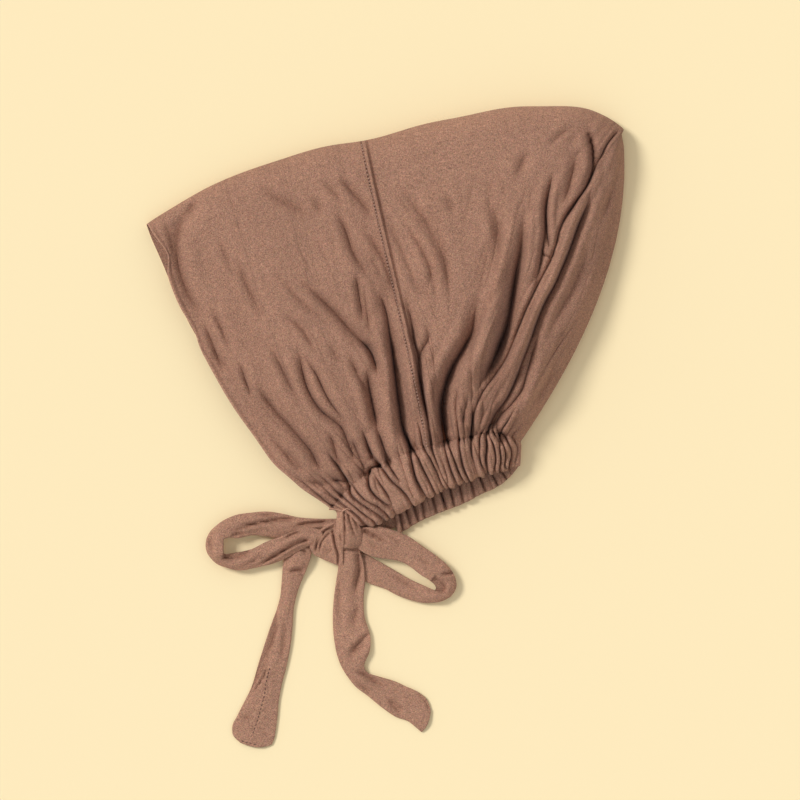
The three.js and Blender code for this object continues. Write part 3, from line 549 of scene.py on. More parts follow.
def cap_base(s, t, far):
    """The cap without folds: place, height of the fold's middle and of the cloth away from it, the share of
    the way from one to the other, and the distance above the stitch line."""
    xy = plan(s, t, far)
    length = np.linalg.norm(plan(s, np.ones_like(t), far) - plan(s, np.zeros_like(t), far), axis=-1)
    to_back = np.linalg.norm(xy - plan(np.ones_like(s), t, far), axis=-1)
    roll = FAR_ROLL if far else NEAR_ROLL
    over = rolled((1 - t) * length, roll) * rolled(to_back, min(roll, BACK_ROLL))
    back = BACK_LOW * section(np.ones_like(s), t)[..., 2]
    middle = FOLD_HEIGHT + (back - FOLD_HEIGHT) * (1 - ease(to_back / BACK_REACH))
    top = np.minimum(section(s, t)[..., 2], DEPTH)
    return xy, middle, top, over, t * length


# How far the near face edge lies inside the far one, and which way.
FACE_INSETS = [
    # share up the section, half its reach, inset
    (0.915, 0.06, 7.6),
    (0.655, 0.05, 3.2),
]
INSET_WAY = np.array([0.93, -0.36])
# How far the hem's sewn line lies from the face edge.
HEM_WIDTH = 3.2


def cap_point(s, t, far):
    """Points of the cap's cloth on the near or the far side, each with the shade and light painted on it."""
    s, t = np.broadcast_arrays(np.asarray(s, float), np.asarray(t, float))
    xy, middle, top, over, up = cap_base(s, t, far)
    if far:
        z = middle * (1 - over) + np.maximum(wrinkles(s, t, True), -0.1) * 0.5 * over
        return np.concatenate([xy, z[..., None], np.zeros_like(z)[..., None]], axis=-1)
    step = 0.004
    across = plan(np.minimum(s + step, 1), t, False) - plan(s - step, t, False)
    span = np.linalg.norm(across, axis=-1) / (2 * step)
    relief, crease_shade = near_height(xy, s, up, span)
    fine = fine_creases(s, t, 100)
    relief = relief + wrinkles(s, t, False) + 1.5 * fine
    # Painted shade in the fine creases.
    crease_shade = np.maximum(crease_shade, -0.35 * fine)
    from_edge = s * span
    for share, reach, inset in FACE_INSETS:
        slide = inset * bell(t, share, reach) * np.exp(-from_edge / 7)
        xy = xy + slide[..., None] * INSET_WAY
    hem_line = bell(from_edge, HEM_WIDTH, 0.6)
    hem = 0.9 * bell(from_edge, 0.9, 0.9) - 0.3 * hem_line
    lie = np.maximum(top + relief + hem, 2.5 + 0.5 * over)
    z = middle + (lie - middle) * over
    # Painted shade at the bottoms of creases and along the hem's sewn line, and a painted highlight along the
    # face edge.
    painted_shade = np.clip(crease_shade, 0, SHADE_LIMIT) + 0.15 * hem_line - 0.7 * bell(from_edge, 0.0, 0.8)
    return np.concatenate([xy, z[..., None], painted_shade[..., None]], axis=-1)


def lean(grid, amount, limit):
    """Push a grid's steep places downhill, so that ridges bulge over the valleys beside them."""
    across = np.gradient(grid, axis=0)
    down = np.gradient(grid, axis=1)
    det = across[..., 0] * down[..., 1] - across[..., 1] * down[..., 0]
    det = np.where(np.abs(det) < 1e-6, 1e-6, det)
    gx = (across[..., 2] * down[..., 1] - down[..., 2] * across[..., 1]) / det
    gy = (down[..., 2] * across[..., 0] - across[..., 2] * down[..., 0]) / det
    slope = np.hypot(gx, gy)
    shift = limit * np.tanh(slope * amount / limit) / np.maximum(slope, 1e-6)
    out = grid.copy()
    out[..., 0] -= gx * shift
    out[..., 1] -= gy * shift
    return out


# The share of a section in which the rows stand closer together, up to the crown fold.
ROLL_SHARE = 0.12


def fold_rows(count, rolling):
    """Shares up a section for its rows: count even ones, and then the rolling ones up to the crown fold."""
    body = np.arange(count) / count * (1 - ROLL_SHARE)
    angle = (rolling - np.arange(rolling + 1)) / rolling * math.pi / 2
    return np.concatenate([body, 1 - ROLL_SHARE * (1 - np.cos(angle))])


def make_piece(name, vertices, faces, uv=None, painted_shade=None, sharp=()):
    """A mesh from points in millimetres. sharp lists pairs of points whose edge keeps a hard look."""
    mesh = bpy.data.meshes.new(name)
    mesh.from_pydata((np.asarray(vertices) * 0.001).tolist(), [], faces)
    mesh.validate()
    mesh.polygons.foreach_set("use_smooth", [True] * len(mesh.polygons))
    if len(sharp):
        ends = np.empty(2 * len(mesh.edges), int)
        mesh.edges.foreach_get("vertices", ends)
        ends = np.sort(ends.reshape(-1, 2), axis=1)
        hard = np.sort(np.asarray(sharp), axis=1)
        size = len(mesh.vertices)
        keep = np.isin(ends[:, 0] * size + ends[:, 1], hard[:, 0] * size + hard[:, 1])
        layer = mesh.attributes.new("sharp_edge", "BOOLEAN", "EDGE")
        layer.data.foreach_set("value", keep)
    if uv is not None:
        layer = mesh.uv_layers.new(name="cloth")
        loops = np.empty(len(mesh.loops), int)
        mesh.loops.foreach_get("vertex_index", loops)
        layer.data.foreach_set("uv", np.asarray(uv)[loops].ravel())
    if painted_shade is not None:
        layer = mesh.attributes.new("painted_shade", "FLOAT", "POINT")
        layer.data.foreach_set("value", np.asarray(painted_shade, float).ravel())
    piece = bpy.data.objects.new(name, mesh)
    bpy.context.scene.collection.objects.link(piece)
    return piece


def quads(columns, rows):
    """Corner numbers of a grid's quads, column by column."""
    i, j = np.meshgrid(np.arange(columns - 1), np.arange(rows - 1), indexing="ij")
    a = (i * rows + j).ravel()
    return np.stack([a, a + rows, a + rows + 1, a + 1], axis=1)


# Points of a cloth that are this near to each other are one.
WELD = 0.002


def cloth(name, grid, uv, wall=WALL):
    """A closed thin cloth from a grid of its outer face, columns by rows."""
    columns, rows = grid.shape[:2]
    painted_shade = grid[..., 3].ravel()
    points = grid[..., :3].reshape(-1, 3)
    key = np.round(points / WELD).astype(np.int64)
    _, first, ids = np.unique(key, axis=0, return_index=True, return_inverse=True)
    ids = ids.reshape(-1)
    points = points[first]
    painted_shade = painted_shade[first]
    flat_uv = uv.reshape(-1, 2)[first]
    faces = ids[quads(columns, rows)]
    good = []
    for face in faces:
        ring = [face[k] for k in range(4) if face[k] != face[k - 1]]
        if len(ring) >= 3:
            good.append(ring)
    triangles = np.array([(f[0], f[k], f[k + 1]) for f in good for k in range(1, len(f) - 1)])
    a, b, c = (points[triangles[:, k]] for k in range(3))
    face_normal = np.cross(b - a, c - a)
    normal = np.zeros_like(points)
    for k in range(3):
        np.add.at(normal, triangles[:, k], face_normal)
    normal /= np.maximum(np.linalg.norm(normal, axis=1, keepdims=True), 1e-9)
    count = len(points)
    edges = dict.fromkeys((f[k - 1], f[k]) for f in good for k in range(len(f)))
    rim = [(p, q) for p, q in edges if (q, p) not in edges]
    out = [list(f) for f in good]
    out += [[count + v for v in reversed(f)] for f in good]
    out += [[q, p, count + p, count + q] for p, q in rim]
    both = np.concatenate([points, points - normal * wall])
    both[:, 2] = np.maximum(both[:, 2], 0.0)
    faces = [[int(v) for v in f] for f in out]
    hard = rim + [(p + count, q + count) for p, q in rim]
    return make_piece(name, both, faces, np.tile(flat_uv, (2, 1)), np.tile(painted_shade, 2), hard)


def cloth_uv(grid):
    """Lengths in metres along a grid's columns and rows."""
    grid = grid[..., :3]
    along_rows = np.linalg.norm(np.diff(grid, axis=1), axis=-1)
    v = np.concatenate([np.zeros((grid.shape[0], 1)), np.cumsum(along_rows, axis=1)], axis=1)
    u = np.broadcast_to(distances(grid[:, grid.shape[1] // 4])[:, None], v.shape)
    return np.stack([u, v], axis=-1) * 0.001


# The meshes of the panels: columns along the cap, even rows up the near and the far side, and the columns at
# a panel's back end over which the lean of its folds fades out.
FRONT_COLUMNS = 200
FRONT_ROWS = (130, 36)
FRONT_STILL = 6
BACK_COLUMNS = 236
BACK_ROWS = (166, 18)
BACK_STILL = 34
# The same for both: rows that roll into the crown fold on the near and the far side, and the columns at the
# front end over which the lean fades out.
ROLLING_ROWS = (14, 6)
FIRST_STILL = 6


def folded_grid(sections, rows, still_columns):
    """Grid of a panel folded over the crown: up the near side and down the far side."""
    t = fold_rows(rows[0], ROLLING_ROWS[0])
    s_near = sections(False)
    s_far = sections(True)
    near = cap_point(s_near(t), t[None, :], False)
    still = near.copy()
    near = lean(near, 0.5, 0.75)
    column = np.arange(len(near))
    edge = np.minimum(column / FIRST_STILL, (len(near) - 1 - column) / still_columns)
    keep = ease((1 - t) / 0.1)[None, :] * ease(t / 0.012)[None, :] * ease(edge)[:, None]
    near = still + (near - still) * keep[..., None]
    back = fold_rows(rows[1], ROLLING_ROWS[1])[:-1][::-1]
    far = cap_point(s_far(back), back[None, :], True)
    return np.concatenate([near, far], axis=1)


# Half the width of the crown seam, and the slit between it and a panel.
SEAM_HALF = 2.7
SEAM_SLACK = 0.02
# How far from the fold at the back the columns stand closer together, as a share of the back panel.
BACK_TIGHT = 0.05


def across_seam(t, far):
    """Sections per millimetre across the crown seam."""
    step = 0.01
    t = np.asarray(t, float)
    gap = np.linalg.norm(plan(SEAM_AT - step, t, far) - plan(SEAM_AT + step, t, far), axis=-1)
    return 2 * step / gap


def front_sections(far):
    """The sections of the front panel's columns, closer together at the face edge."""
    u = np.linspace(0, 1, FRONT_COLUMNS)
    u = (u - 0.2 * np.sin(u * math.pi) * (1 - u) ** 4)[:, None]
    return lambda t: u * (SEAM_AT - (SEAM_HALF + SEAM_SLACK) * across_seam(t, far)[None, :])


def back_sections(far):
    """The sections of the back panel's columns, closer together at the fold at the back."""
    u = np.linspace(0, 1, BACK_COLUMNS)
    left = 1 - (np.sin(u * math.pi / 2) * 0.35 + u * 0.65)
    spread = (1 - (1 + BACK_TIGHT) * left**2 / (left + BACK_TIGHT))[:, None]
    spread[-1] = 1.0

    def at(t):
        start = SEAM_AT + (SEAM_HALF + SEAM_SLACK) * across_seam(t, far)[None, :]
        return start + spread * (1 - start)

    return at


front_grid = folded_grid(front_sections, FRONT_ROWS, FRONT_STILL)
front = cloth("front_panel_cloth", front_grid, cloth_uv(front_grid))
back_grid = folded_grid(back_sections, BACK_ROWS, BACK_STILL)
back = cloth("back_panel_cloth", back_grid, cloth_uv(back_grid))


# The mesh of the crown seam: points across it, even and rolling rows on the near and the far side, and the
# column that the stitches lie on.
SEAM_SIDES = 23
SEAM_ROWS = (430, 24)
SEAM_FAR_ROWS = (60, 10)
STITCH_COLUMN = 3
# Length of the seam on the near side, its cloth's thickness, and the pitch of its stitches.
SEAM_RUN = 270
SEAM_WALL = 1.4
STITCH_PITCH = 2.5


def seam_grid():
    """The band over the crown: stitches in a groove on its front side, and a soft ditch on its back side."""
    sides = np.linspace(-1, 1, SEAM_SIDES)
    ditch = ease((sides - 0.08) / 0.45) * ease((1.02 - sides) / 0.3)
    groove = bell(sides, -0.74, 0.16)
    hump = 0.1 + 0.95 * ease((sides + 0.62) / 0.6) * ease((1.0 - sides) / 0.5) - 1.5 * ditch - 0.6 * groove
    out = []
    for far in (False, True):
        t = fold_rows(*SEAM_FAR_ROWS)[:-1][::-1] if far else fold_rows(*SEAM_ROWS)
        width = across_seam(t, far)[None, :]
        p = cap_point(SEAM_AT + sides[:, None] * SEAM_HALF * width, t[None, :], far)
        if not far:
            along = distances(p[STITCH_COLUMN, :, :3])
            pit = bell((along / STITCH_PITCH + 0.5) % 1, 0.5, 0.17)
            round_over = rolled((1 - t) * SEAM_RUN, NEAR_ROLL)[None, :]
            p[..., 2] += (hump[:, None] - 0.6 * groove[:, None] * pit[None, :]) * round_over
            # Painted shade in the ditch, the groove and the needle holes.
            p[..., 3] += 0.6 * ditch[:, None] + groove[:, None] * (0.4 + 1.2 * pit[None, :])
        out.append(p)
    return np.concatenate(out, axis=1)


seam_points = seam_grid()
seam = cloth("crown_seam_fell", seam_points, cloth_uv(seam_points), SEAM_WALL)


# The rings of a stitch between its two tips: share of its half length, and share of its radius.
BEAD = ((-0.75, 0.72), (0.0, 1.0), (0.75, 0.72))
BEAD_SIDES = 6


def threads(name, middles, aheads, ups, long, wide, high):
    """A row of stitches: a small bead of thread at each place, drawn out along the seam."""
    ring = BEAD_SIDES
    angles = np.arange(ring) / ring * 2 * math.pi
    vertices = []
    faces = []
    for middle, ahead, up in zip(middles, aheads, ups):
        ahead = ahead / np.linalg.norm(ahead)
        side = np.cross(ahead, up)
        side /= np.linalg.norm(side)
        top = np.cross(side, ahead)
        start = len(vertices)
        vertices.append(middle - ahead * long)
        for share, radius in BEAD:
            for angle in angles:
                off = side * math.cos(angle) * wide * radius + top * math.sin(angle) * high * radius
                vertices.append(middle + ahead * share * long + off)
        vertices.append(middle + ahead * long)
        last = start + 1 + len(BEAD) * ring
        for k in range(ring):
            n = (k + 1) % ring
            faces.append([start, start + 1 + k, start + 1 + n])
            for band in range(len(BEAD) - 1):
                a = start + 1 + band * ring
                faces.append([a + k, a + ring + k, a + ring + n, a + n])
            faces.append([last, last - ring + n, last - ring + k])
    return make_piece(name, vertices, faces)


def level_threads(name, places, aheads, long, wide, high):
    """A row of stitches that lie level on the cloth."""
    ups = np.tile([0.0, 0.0, 1.0], (len(places), 1))
    return threads(name, places + ups * 0.1, aheads, ups, long, wide, high)


def spaced(path, pitch):
    """Places at an even pitch along a path, with the directions there."""
    d = distances(path)
    at = np.arange(pitch / 2, d[-1], pitch)
    places = np.stack([np.interp(at, d, path[:, k]) for k in range(3)], axis=1)
    ahead = np.stack([np.interp(at, d, np.gradient(path[:, k], d)) for k in range(3)], axis=1)
    return places, ahead


def grid_normals(grid):
    across = np.gradient(grid[..., :3], axis=0)
    down = np.gradient(grid[..., :3], axis=1)
    normal = np.cross(across, down)
    return normal / np.maximum(np.linalg.norm(normal, axis=-1, keepdims=True), 1e-9)


# The row that the stitches end at, just short of the crown fold's middle.
stitch_end = sum(SEAM_ROWS) - 5
stitch_path = seam_points[STITCH_COLUMN, :stitch_end, :3]
stitch_normal = grid_normals(seam_points)[STITCH_COLUMN, :stitch_end]
places, aheads = spaced(stitch_path, STITCH_PITCH)
near_index = [int(np.argmin(np.linalg.norm(stitch_path - q, axis=1))) for q in places]
ups = stitch_normal[near_index]
ups = ups * np.sign(ups[:, 2:3] + 1e-9)
seam_thread_highlight = threads("crown_seam_thread", places + ups * 0.3, aheads, ups, 0.7, 0.56, 0.5)


# The mesh of the casing, whose columns run along the neck and whose rows run down to the free edge.
CASING_NEAR = 520
CASING_FAR = 300
CASING_ROWS = 22
CASING_DEEP = 26.0
# How far from the back end the casing turns from the near to the far side, as a share of its run.
CASING_TURN = 0.06


def casing_face(q, far):
    """The casing's outer face at sections q, columns by rows to its free edge, and its unfolded height."""
    r = np.linspace(0, 1, CASING_ROWS)
    sewn = cap_point(q, np.zeros_like(q), far)[:, :3]
    base_xy, middle, top, over, _ = cap_base(q, np.zeros_like(q), far)
    level = middle * (1 - over) if far else middle + (top - middle) * over
    level = np.where(q >= 1, sewn[:, 2], level)
    edge = through(*(FAR_EDGE if far else NEAR_EDGE), q)
    rim = np.concatenate([mm(edge[:, :2]), edge[:, 2:]], axis=1)
    base = np.concatenate([base_xy, level[:, None]], axis=1)
    face = base[:, None] * (1 - r)[None, :, None] + rim[:, None] * r[None, :, None]
    span = np.linalg.norm(np.gradient(face[..., :2], q, axis=0), axis=-1)
    up = -r[None, :] * CASING_DEEP * np.ones((len(q), 1))
    away = rim[:, :2] - base_xy
    away /= np.linalg.norm(away, axis=1, keepdims=True)
    turn = ease((1 - q) / CASING_TURN)[:, None]
    if far:
        relief, crease_shade = fold_relief(face[..., :2], FAR_PLEATS)
        relief = relief * 1.2 + gathers(q[:, None] + 0.011, up, span) * 0.6
        relief = (relief + 3.2 + 1.6 * np.sin(r * math.pi)[None, :]) * turn
        relief = np.maximum(relief, 0.9 * turn)
    else:
        relief, crease_shade = near_height(face[..., :2], q[:, None] * np.ones((1, CASING_ROWS)), up, span)
        start = sewn[:, 2] - level - relief[:, 0]
        relief = relief + 0.65 * np.maximum(-2.0 - relief, 0) * ease((r - 0.6) / 0.4)[None, :]
        relief = (relief + start[:, None] * np.exp(-r / 0.12)[None, :]) * (1 - (1 - turn) * r[None, :])
    drop = -2.6 * ease((r - 0.86) / 0.14) ** 2
    scallop = np.clip(relief + 1.0, -3.5, 1.6) * ease((r - 0.55) / 0.45)[None, :] * 0.55 * turn
    face[..., 2] += relief + drop[None, :] * turn * (0.3 if far else 1.0)
    face[..., :2] += away[:, None] * scallop[..., None]
    free = ease(r / 0.15)[None, :, None]
    # Painted shade at the bottoms of the pleats, and painted light that lightens the whole casing, more on
    # the near side.
    painted_shade = 0.38 * np.clip(crease_shade, 0, SHADE_LIMIT) - (0.12 if far else 0.22)
    face = face + (lean(face, 0.5, 0.5) - face) * free
    plain = base[:, 2:] * (1 - r)[None, :] + rim[:, 2:] * r[None, :]
    return np.concatenate([face, painted_shade[..., None]], axis=-1), plain


def casing_rings_of():
    """Rings of the casing along the neck: along the near side to the back, and along the far side again."""
    q_near = np.linspace(0, 1, CASING_NEAR)
    q_far = np.linspace(1, 0, CASING_FAR)[1:]
    rings = []
    for q, far in ((q_near, False), (q_far, True)):
        face, level = casing_face(q, far)
        under = face.copy()
        if far:
            turn = ease((1 - q) / CASING_TURN)[:, None]
            under[..., 2] = (level - 3.0) * (1 - turn) + 0.15 * turn
            under[..., 2] = np.maximum(np.minimum(under[..., 2], face[..., 2] - 0.7), 0.1)
            ring = np.concatenate([under, face[:, ::-1]], axis=1)
        else:
            under[..., 2] = np.minimum(face[..., 2] - WALL, level - 2.4)
            ring = np.concatenate([face, under[:, ::-1]], axis=1)
        rings.append(ring)
    return np.concatenate(rings, axis=0)


casing_rings = casing_rings_of()


def tube(name, rings, hard=()):
    """A closed body from rings of points, capped at both ends. hard lists a ring's points on hard edges."""
    count, around = rings.shape[:2]
    painted_shade = rings[..., 3].ravel()
    rings = rings[..., :3]
    points = rings.reshape(-1, 3)
    faces = []
    for i in range(count - 1):
        for k in range(around):
            a = i * around + k
            b = i * around + (k + 1) % around
            faces.append([a, b, b + around, a + around])
    faces.append(list(reversed(range(around))))
    faces.append([(count - 1) * around + k for k in range(around)])
    u = distances(rings.mean(axis=1))
    v = np.cumsum(np.linalg.norm(rings - np.roll(rings, 1, axis=1), axis=-1).mean(axis=0))
    uv = np.stack(np.broadcast_arrays(u[:, None], v[None, :]), axis=-1).reshape(-1, 2) * 0.001
    sharp = [(i * around + k, (i + 1) * around + k) for i in range(count - 1) for k in hard]
    return make_piece(name, points, faces, uv, painted_shade, sharp)


casing = tube("neck_casing_gathered", casing_rings, (0, 2 * CASING_ROWS - 1))
# The casing's stitches run one row below the line where it is sewn on, start and end a few columns from its
# ends, and show where they lie above their mean height, on the ridges of the pleats.
FINE_PITCH = 2.6
CASING_INSET = 14
MEAN_OVER = 7
casing_line = casing_rings[CASING_INSET:CASING_NEAR - CASING_INSET, 1, :3]
casing_places, casing_aheads = spaced(casing_line, FINE_PITCH)
padded = np.pad(casing_places[:, 2], MEAN_OVER // 2, mode="edge")
on_top = casing_places[:, 2] > np.convolve(padded, np.ones(MEAN_OVER) / MEAN_OVER, mode="valid")
casing_thread = level_threads("casing_thread", casing_places[on_top], casing_aheads[on_top], 0.6, 0.24, 0.2)

# Ties. Rows run along a tie: one edge, the other edge (grid places), their heights and the thickness in mm.
LOOP_LEFT = [
    ((337, 519), (336, 527), 5.5, 5.5, 3.4),
    ((318, 519), (318, 530), 5.0, 5.2, 3.6),
    ((297, 517.4), (297, 537), 5.0, 5.0, 3.6),
    ((281.7, 513.9), (281, 539), 5.5, 4.6, 3.8),
    ((266.4, 511.8), (266, 537), 6.0, 5.0, 3.8),
    ((251, 512.9), (252, 535.5), 6.2, 5.8, 3.8),
    ((233, 516), (238, 538.5), 6.2, 7.0, 4.0),
    ((218, 524), (228, 538), 6.0, 9.0, 4.2),
    ((208.5, 533.5), (223.5, 540), 5.4, 10.0, 4.4),
    ((205, 544), (223, 546.5), 5.0, 10.5, 4.4),
    ((207.5, 555), (223.5, 553.5), 5.0, 10.0, 4.4),
    ((215, 563.5), (225.5, 554.5), 5.2, 8.4, 4.2),
    ((226, 568.2), (231.5, 553.5), 5.4, 7.4, 4.0),
    ((238, 571), (241, 552), 5.6, 7.6, 4.0),
    ((256, 568), (252, 549), 5.6, 8.2, 4.0),
    ((274.6, 563.4), (267, 541.5), 5.6, 9.2, 4.0),
    ((287, 558), (281, 536.5), 6.0, 10.0, 4.0),
    ((299, 551), (294, 531), 6.6, 10.4, 4.0),
    ((310, 546), (309, 528), 7.2, 10.2, 4.0),
    ((323, 542), (322, 530), 7.6, 9.4, 4.0),
]
LOOP_LEFT_CREASES = [
    (((299, 520), (283, 519.8), (267, 521.2), (252, 524), (238, 528.4), (226, 530)),
     1.1, 1.2, -4.6, 0.2, 0.3),
    (((330, 522), (316, 523), (302, 524.5), (288, 529)), 1.1, 1.2, -3.0, 0.2, 0.4),
    (((255, 567.4), (271.5, 558.3), (287, 549), (298, 543), (311, 540)), 1.1, 1.2, -4.2, 0.35, 0.1),
    (((281, 541), (292, 535), (304, 531)), 0.9, 0.9, -1.2, 0.4, 0.3),
    (((229, 538), (238, 534), (249, 534)), 1.2, 1.2, -1.4, 0.4, 0.4),
    (((213, 531), (210, 544), (214, 557)), 1.4, 1.4, -0.9, 0.4, 0.4),
    (((222, 555), (228, 557), (236, 556), (244, 553.5), (252, 550.5)), 3.0, 3.0, -6.0, 0.1, 0.4),
    (((284, 520), (270, 516), (254, 517)), 1.0, 1.0, -0.8, 0.4, 0.4),
    (((240, 567), (256, 560), (270, 551)), 1.0, 1.0, -1.0, 0.4, 0.4),
]
LOOP_RIGHT = [
    ((350, 527), (351, 541), 7.5, 7.5, 4.0),
    ((362, 527.5), (358, 549), 9.0, 8.0, 4.4),
    ((372, 527), (367, 555), 9.6, 7.4, 4.4),
    ((381.3, 526.9), (377, 558), 9.6, 6.8, 4.2),
    ((395.4, 531.2), (388, 559.6), 9.0, 6.4, 4.0),
    ((408.4, 536.6), (399, 561.5), 8.0, 6.4, 4.0),
    ((422.5, 546.4), (410, 567), 7.2, 7.0, 4.0),
    ((437.7, 557.2), (421, 575.5), 6.6, 8.6, 4.0),
    ((449.6, 568), (430, 581), 5.8, 8.6, 4.2),
    ((455.5, 578), (434.5, 585), 5.2, 8.0, 4.2),
    ((456.7, 587), (436, 588), 4.8, 7.4, 4.0),
    ((452, 596), (435, 590.5), 4.4, 6.8, 3.8),
    ((442, 601.8), (431.5, 589.6), 4.0, 6.2, 3.8),
    ((430, 603.6), (426, 587), 3.4, 5.2, 3.8),
    ((413.8, 601.7), (410, 579.8), 2.8, 3.8, 3.6),
    ((397.6, 596.2), (394, 570.5), 2.4, 3.2, 3.4),
    ((384.6, 589.5), (380, 562.5), 2.2, 3.0, 3.4),
    ((368, 583.5), (366, 555), 2.2, 3.0, 3.4),
    ((352, 574), (354, 549), 2.4, 3.0, 3.4),
]
LOOP_RIGHT_CREASES = [
    (((362, 530), (372, 535.5), (384, 541), (394, 545)), 1.2, 1.4, -3.8, 0.1, 0.6),
    (((363, 543), (374, 547), (388, 549)), 1.2, 1.2, -1.0, 0.3, 0.5),
    (((456, 572), (447, 574), (438, 573)), 1.0, 1.2, -1.8, 0.3, 0.5),
    (((410, 556), (424, 562), (436, 570)), 1.6, 1.6, -0.6, 0.4, 0.4),
    (((384, 572), (402, 582), (424, 593)), 1.8, 1.8, -0.6, 0.4, 0.4),
    (((430, 582), (437, 586), (443, 589), (448, 590)), 4.2, 4.2, -6.0, 0.12, 0.25),
    (((372, 532), (388, 536), (406, 547)), 1.2, 1.2, -0.7, 0.4, 0.4),
]
TAIL_LEFT = [
    ((291, 548), (310, 545), 3.0, 4.5, 4.6),
    ((285, 556), (311, 555), 3.2, 5.0, 5.4),
    ((282.6, 565), (308.3, 564.4), 3.2, 4.6, 5.2),
    ((281.6, 576), (303.5, 576.5), 2.6, 2.8, 3.8),
    ((281, 584), (299.8, 585), 2.2, 2.2, 3.4),
    ((279.7, 597), (296, 597), 2.0, 2.0, 3.4),
    ((276.6, 609), (293.5, 607.5), 1.9, 2.0, 3.4),
    ((270.5, 625.6), (292.2, 626), 1.7, 1.9, 3.0),
    ((265, 642), (290.6, 642), 1.6, 1.9, 2.8),
    ((257.9, 664.5), (287, 663), 1.5, 1.8, 2.6),
    ((250.2, 689.8), (281, 687), 1.4, 1.7, 2.4),
    ((243.2, 703.8), (278.4, 701), 1.4, 1.7, 2.4),
    ((236.8, 716.5), (277, 717), 1.4, 1.6, 2.4),
    ((231.5, 728.5), (275.2, 731), 1.4, 1.6, 2.2),
    ((233.2, 738), (273.6, 740), 1.2, 1.4, 2.0),
    ((239.5, 744), (271.5, 745.5), 1.1, 1.2, 1.8),
]
TAIL_LEFT_CREASES = [
    (((300, 549), (304, 552), (308, 554)), 0.8, 0.8, -1.4, 0.2, 0.2),
    (((286, 574), (294, 571.5), (299, 571), (305, 573)), 1.2, 1.4, -2.0, 0.4, 0.3),
    (((278, 600), (277, 614), (276.4, 630), (272, 645), (266, 660), (259, 676), (250, 692), (243, 705)),
     3.8, 0.5, -1.5, 0.12, 0.08),
    (((276, 646), (269, 659), (263, 677), (252, 694), (243.5, 705)), 0.9, 0.6, -0.9, 0.15, 0.1),
    (((241, 722), (247, 719), (252, 720)), 1.8, 1.8, -0.7, 0.4, 0.4),
    (((286, 612), (284, 640), (280, 668)), 1.6, 1.6, -0.45, 0.3, 0.3),
]
TAIL_RIGHT = [
    ((337, 543), (357, 545), 6.0, 6.5, 4.6),
    ((337.8, 555), (361, 556), 7.0, 7.0, 4.8),
    ((338, 566), (363.6, 566), 6.4, 6.4, 4.6),
    ((335.8, 582), (365, 581), 3.4, 3.8, 4.2),
    ((333.6, 598.4), (363.6, 597), 2.0, 2.4, 3.8),
    ((332.5, 620), (364.3, 617), 1.8, 2.2, 3.4),
    ((334, 641.8), (370, 637), 1.8, 2.8, 3.6),
    ((337.4, 658), (369.5, 652), 1.8, 3.0, 3.6),
    ((343, 671), (364.4, 665), 1.8, 2.8, 3.6),
    ((354.7, 687), (367.4, 673.4), 1.8, 2.6, 3.6),
    ((367.3, 696.8), (379, 677.5), 1.7, 2.2, 3.4),
    ((381, 708), (394, 682), 1.6, 2.0, 3.0),
    ((395.4, 717.9), (406, 687.5), 1.4, 2.0, 2.8),
    ((408, 722.5), (418, 693), 1.3, 1.9, 2.6),
    ((416.4, 729), (427, 701), 1.2, 1.8, 2.4),
    ((421.5, 733.5), (431, 711), 1.1, 1.5, 2.2),
]
TAIL_RIGHT_CREASES = [
    (((357, 549), (359, 565), (356, 585), (354, 606)), 2.0, 2.2, -2.8, 0.2, 0.5),
    (((335, 547), (346, 549), (358, 550.5), (366, 553)), 1.2, 1.6, -3.2, 0.1, 0.1),
    (((371, 636), (362, 643), (353, 652), (348, 662)), 2.4, 2.8, -4.0, 0.1, 0.5),
    (((358, 600), (354, 622), (350, 634)), 2.0, 2.0, -0.8, 0.4, 0.4),
    (((386, 699), (394, 706), (404, 716)), 2.2, 2.2, -1.6, 0.4, 0.2),
    (((352, 671), (364, 676), (377, 684), (392, 690)), 1.4, 1.6, -1.8, 0.3, 0.5),
    (((352, 680), (364, 689), (378, 697)), 1.4, 1.4, -0.7, 0.4, 0.4),
    (((415, 694), (424, 700), (431, 712)), 0.9, 0.9, -1.0, 0.1, 0.1),
    (((341, 570), (339, 600), (340, 630)), 1.6, 1.6, -0.5, 0.4, 0.4),
]
KNOT_CORE = [
    ((322, 531), (322, 556), 4.5, 4.5, 6.5),
    ((335, 524), (335, 560), 5.0, 5.0, 8.0),
    ((349, 524), (349, 560), 5.0, 5.0, 8.0),
    ((361, 528), (360, 552), 4.5, 4.5, 6.5),
]
KNOT_FAN = [
    ((343, 520), (343, 566), 8.5, 7.5, 6.0),
    ((334, 521.5), (337, 565.5), 9.0, 6.6, 6.6),
    ((326, 524.5), (328, 562), 9.0, 6.2, 6.6),
    ((318.5, 529), (319, 558), 8.6, 6.0, 6.2),
    ((313, 535), (313, 554), 7.6, 5.6, 5.2),
    ((310.5, 540), (310.5, 550), 6.0, 5.2, 3.6),
]
KNOT_FAN_CREASES = [
    (((335, 526.5), (325, 531), (318, 540), (315, 554)), 1.0, 0.9, -3.6, 0.05, 0.2),
    (((335, 530), (327, 535), (321, 543), (319, 555)), 0.9, 0.8, -3.0, 0.05, 0.3),
    (((327, 525), (319, 530), (313.5, 538), (311.5, 549)), 0.8, 0.7, -1.8, 0.1, 0.3),
    (((332.5, 531), (335, 545), (338, 556), (338, 566)), 0.9, 1.0, -3.0, 0.1, 0.1),
    (((323, 556), (330, 552), (334, 546)), 1.6, 1.6, -0.4, 0.4, 0.4),
]
KNOT_BAND = [
    ((337.5, 506), (347, 507), 11.0, 11.0, 3.6),
    ((337, 512), (350.5, 513), 12.0, 11.6, 5.4),
    ((336.2, 520), (355.5, 519.5), 12.8, 11.8, 6.6),
    ((335.6, 529), (360.5, 528), 12.8, 11.4, 7.0),
    ((336, 538), (362, 537), 11.6, 10.4, 7.0),
    ((337, 543), (361, 543.5), 10.2, 9.6, 6.4),
    ((338.5, 546.8), (358.5, 547.2), 8.6, 8.4, 4.6),
]
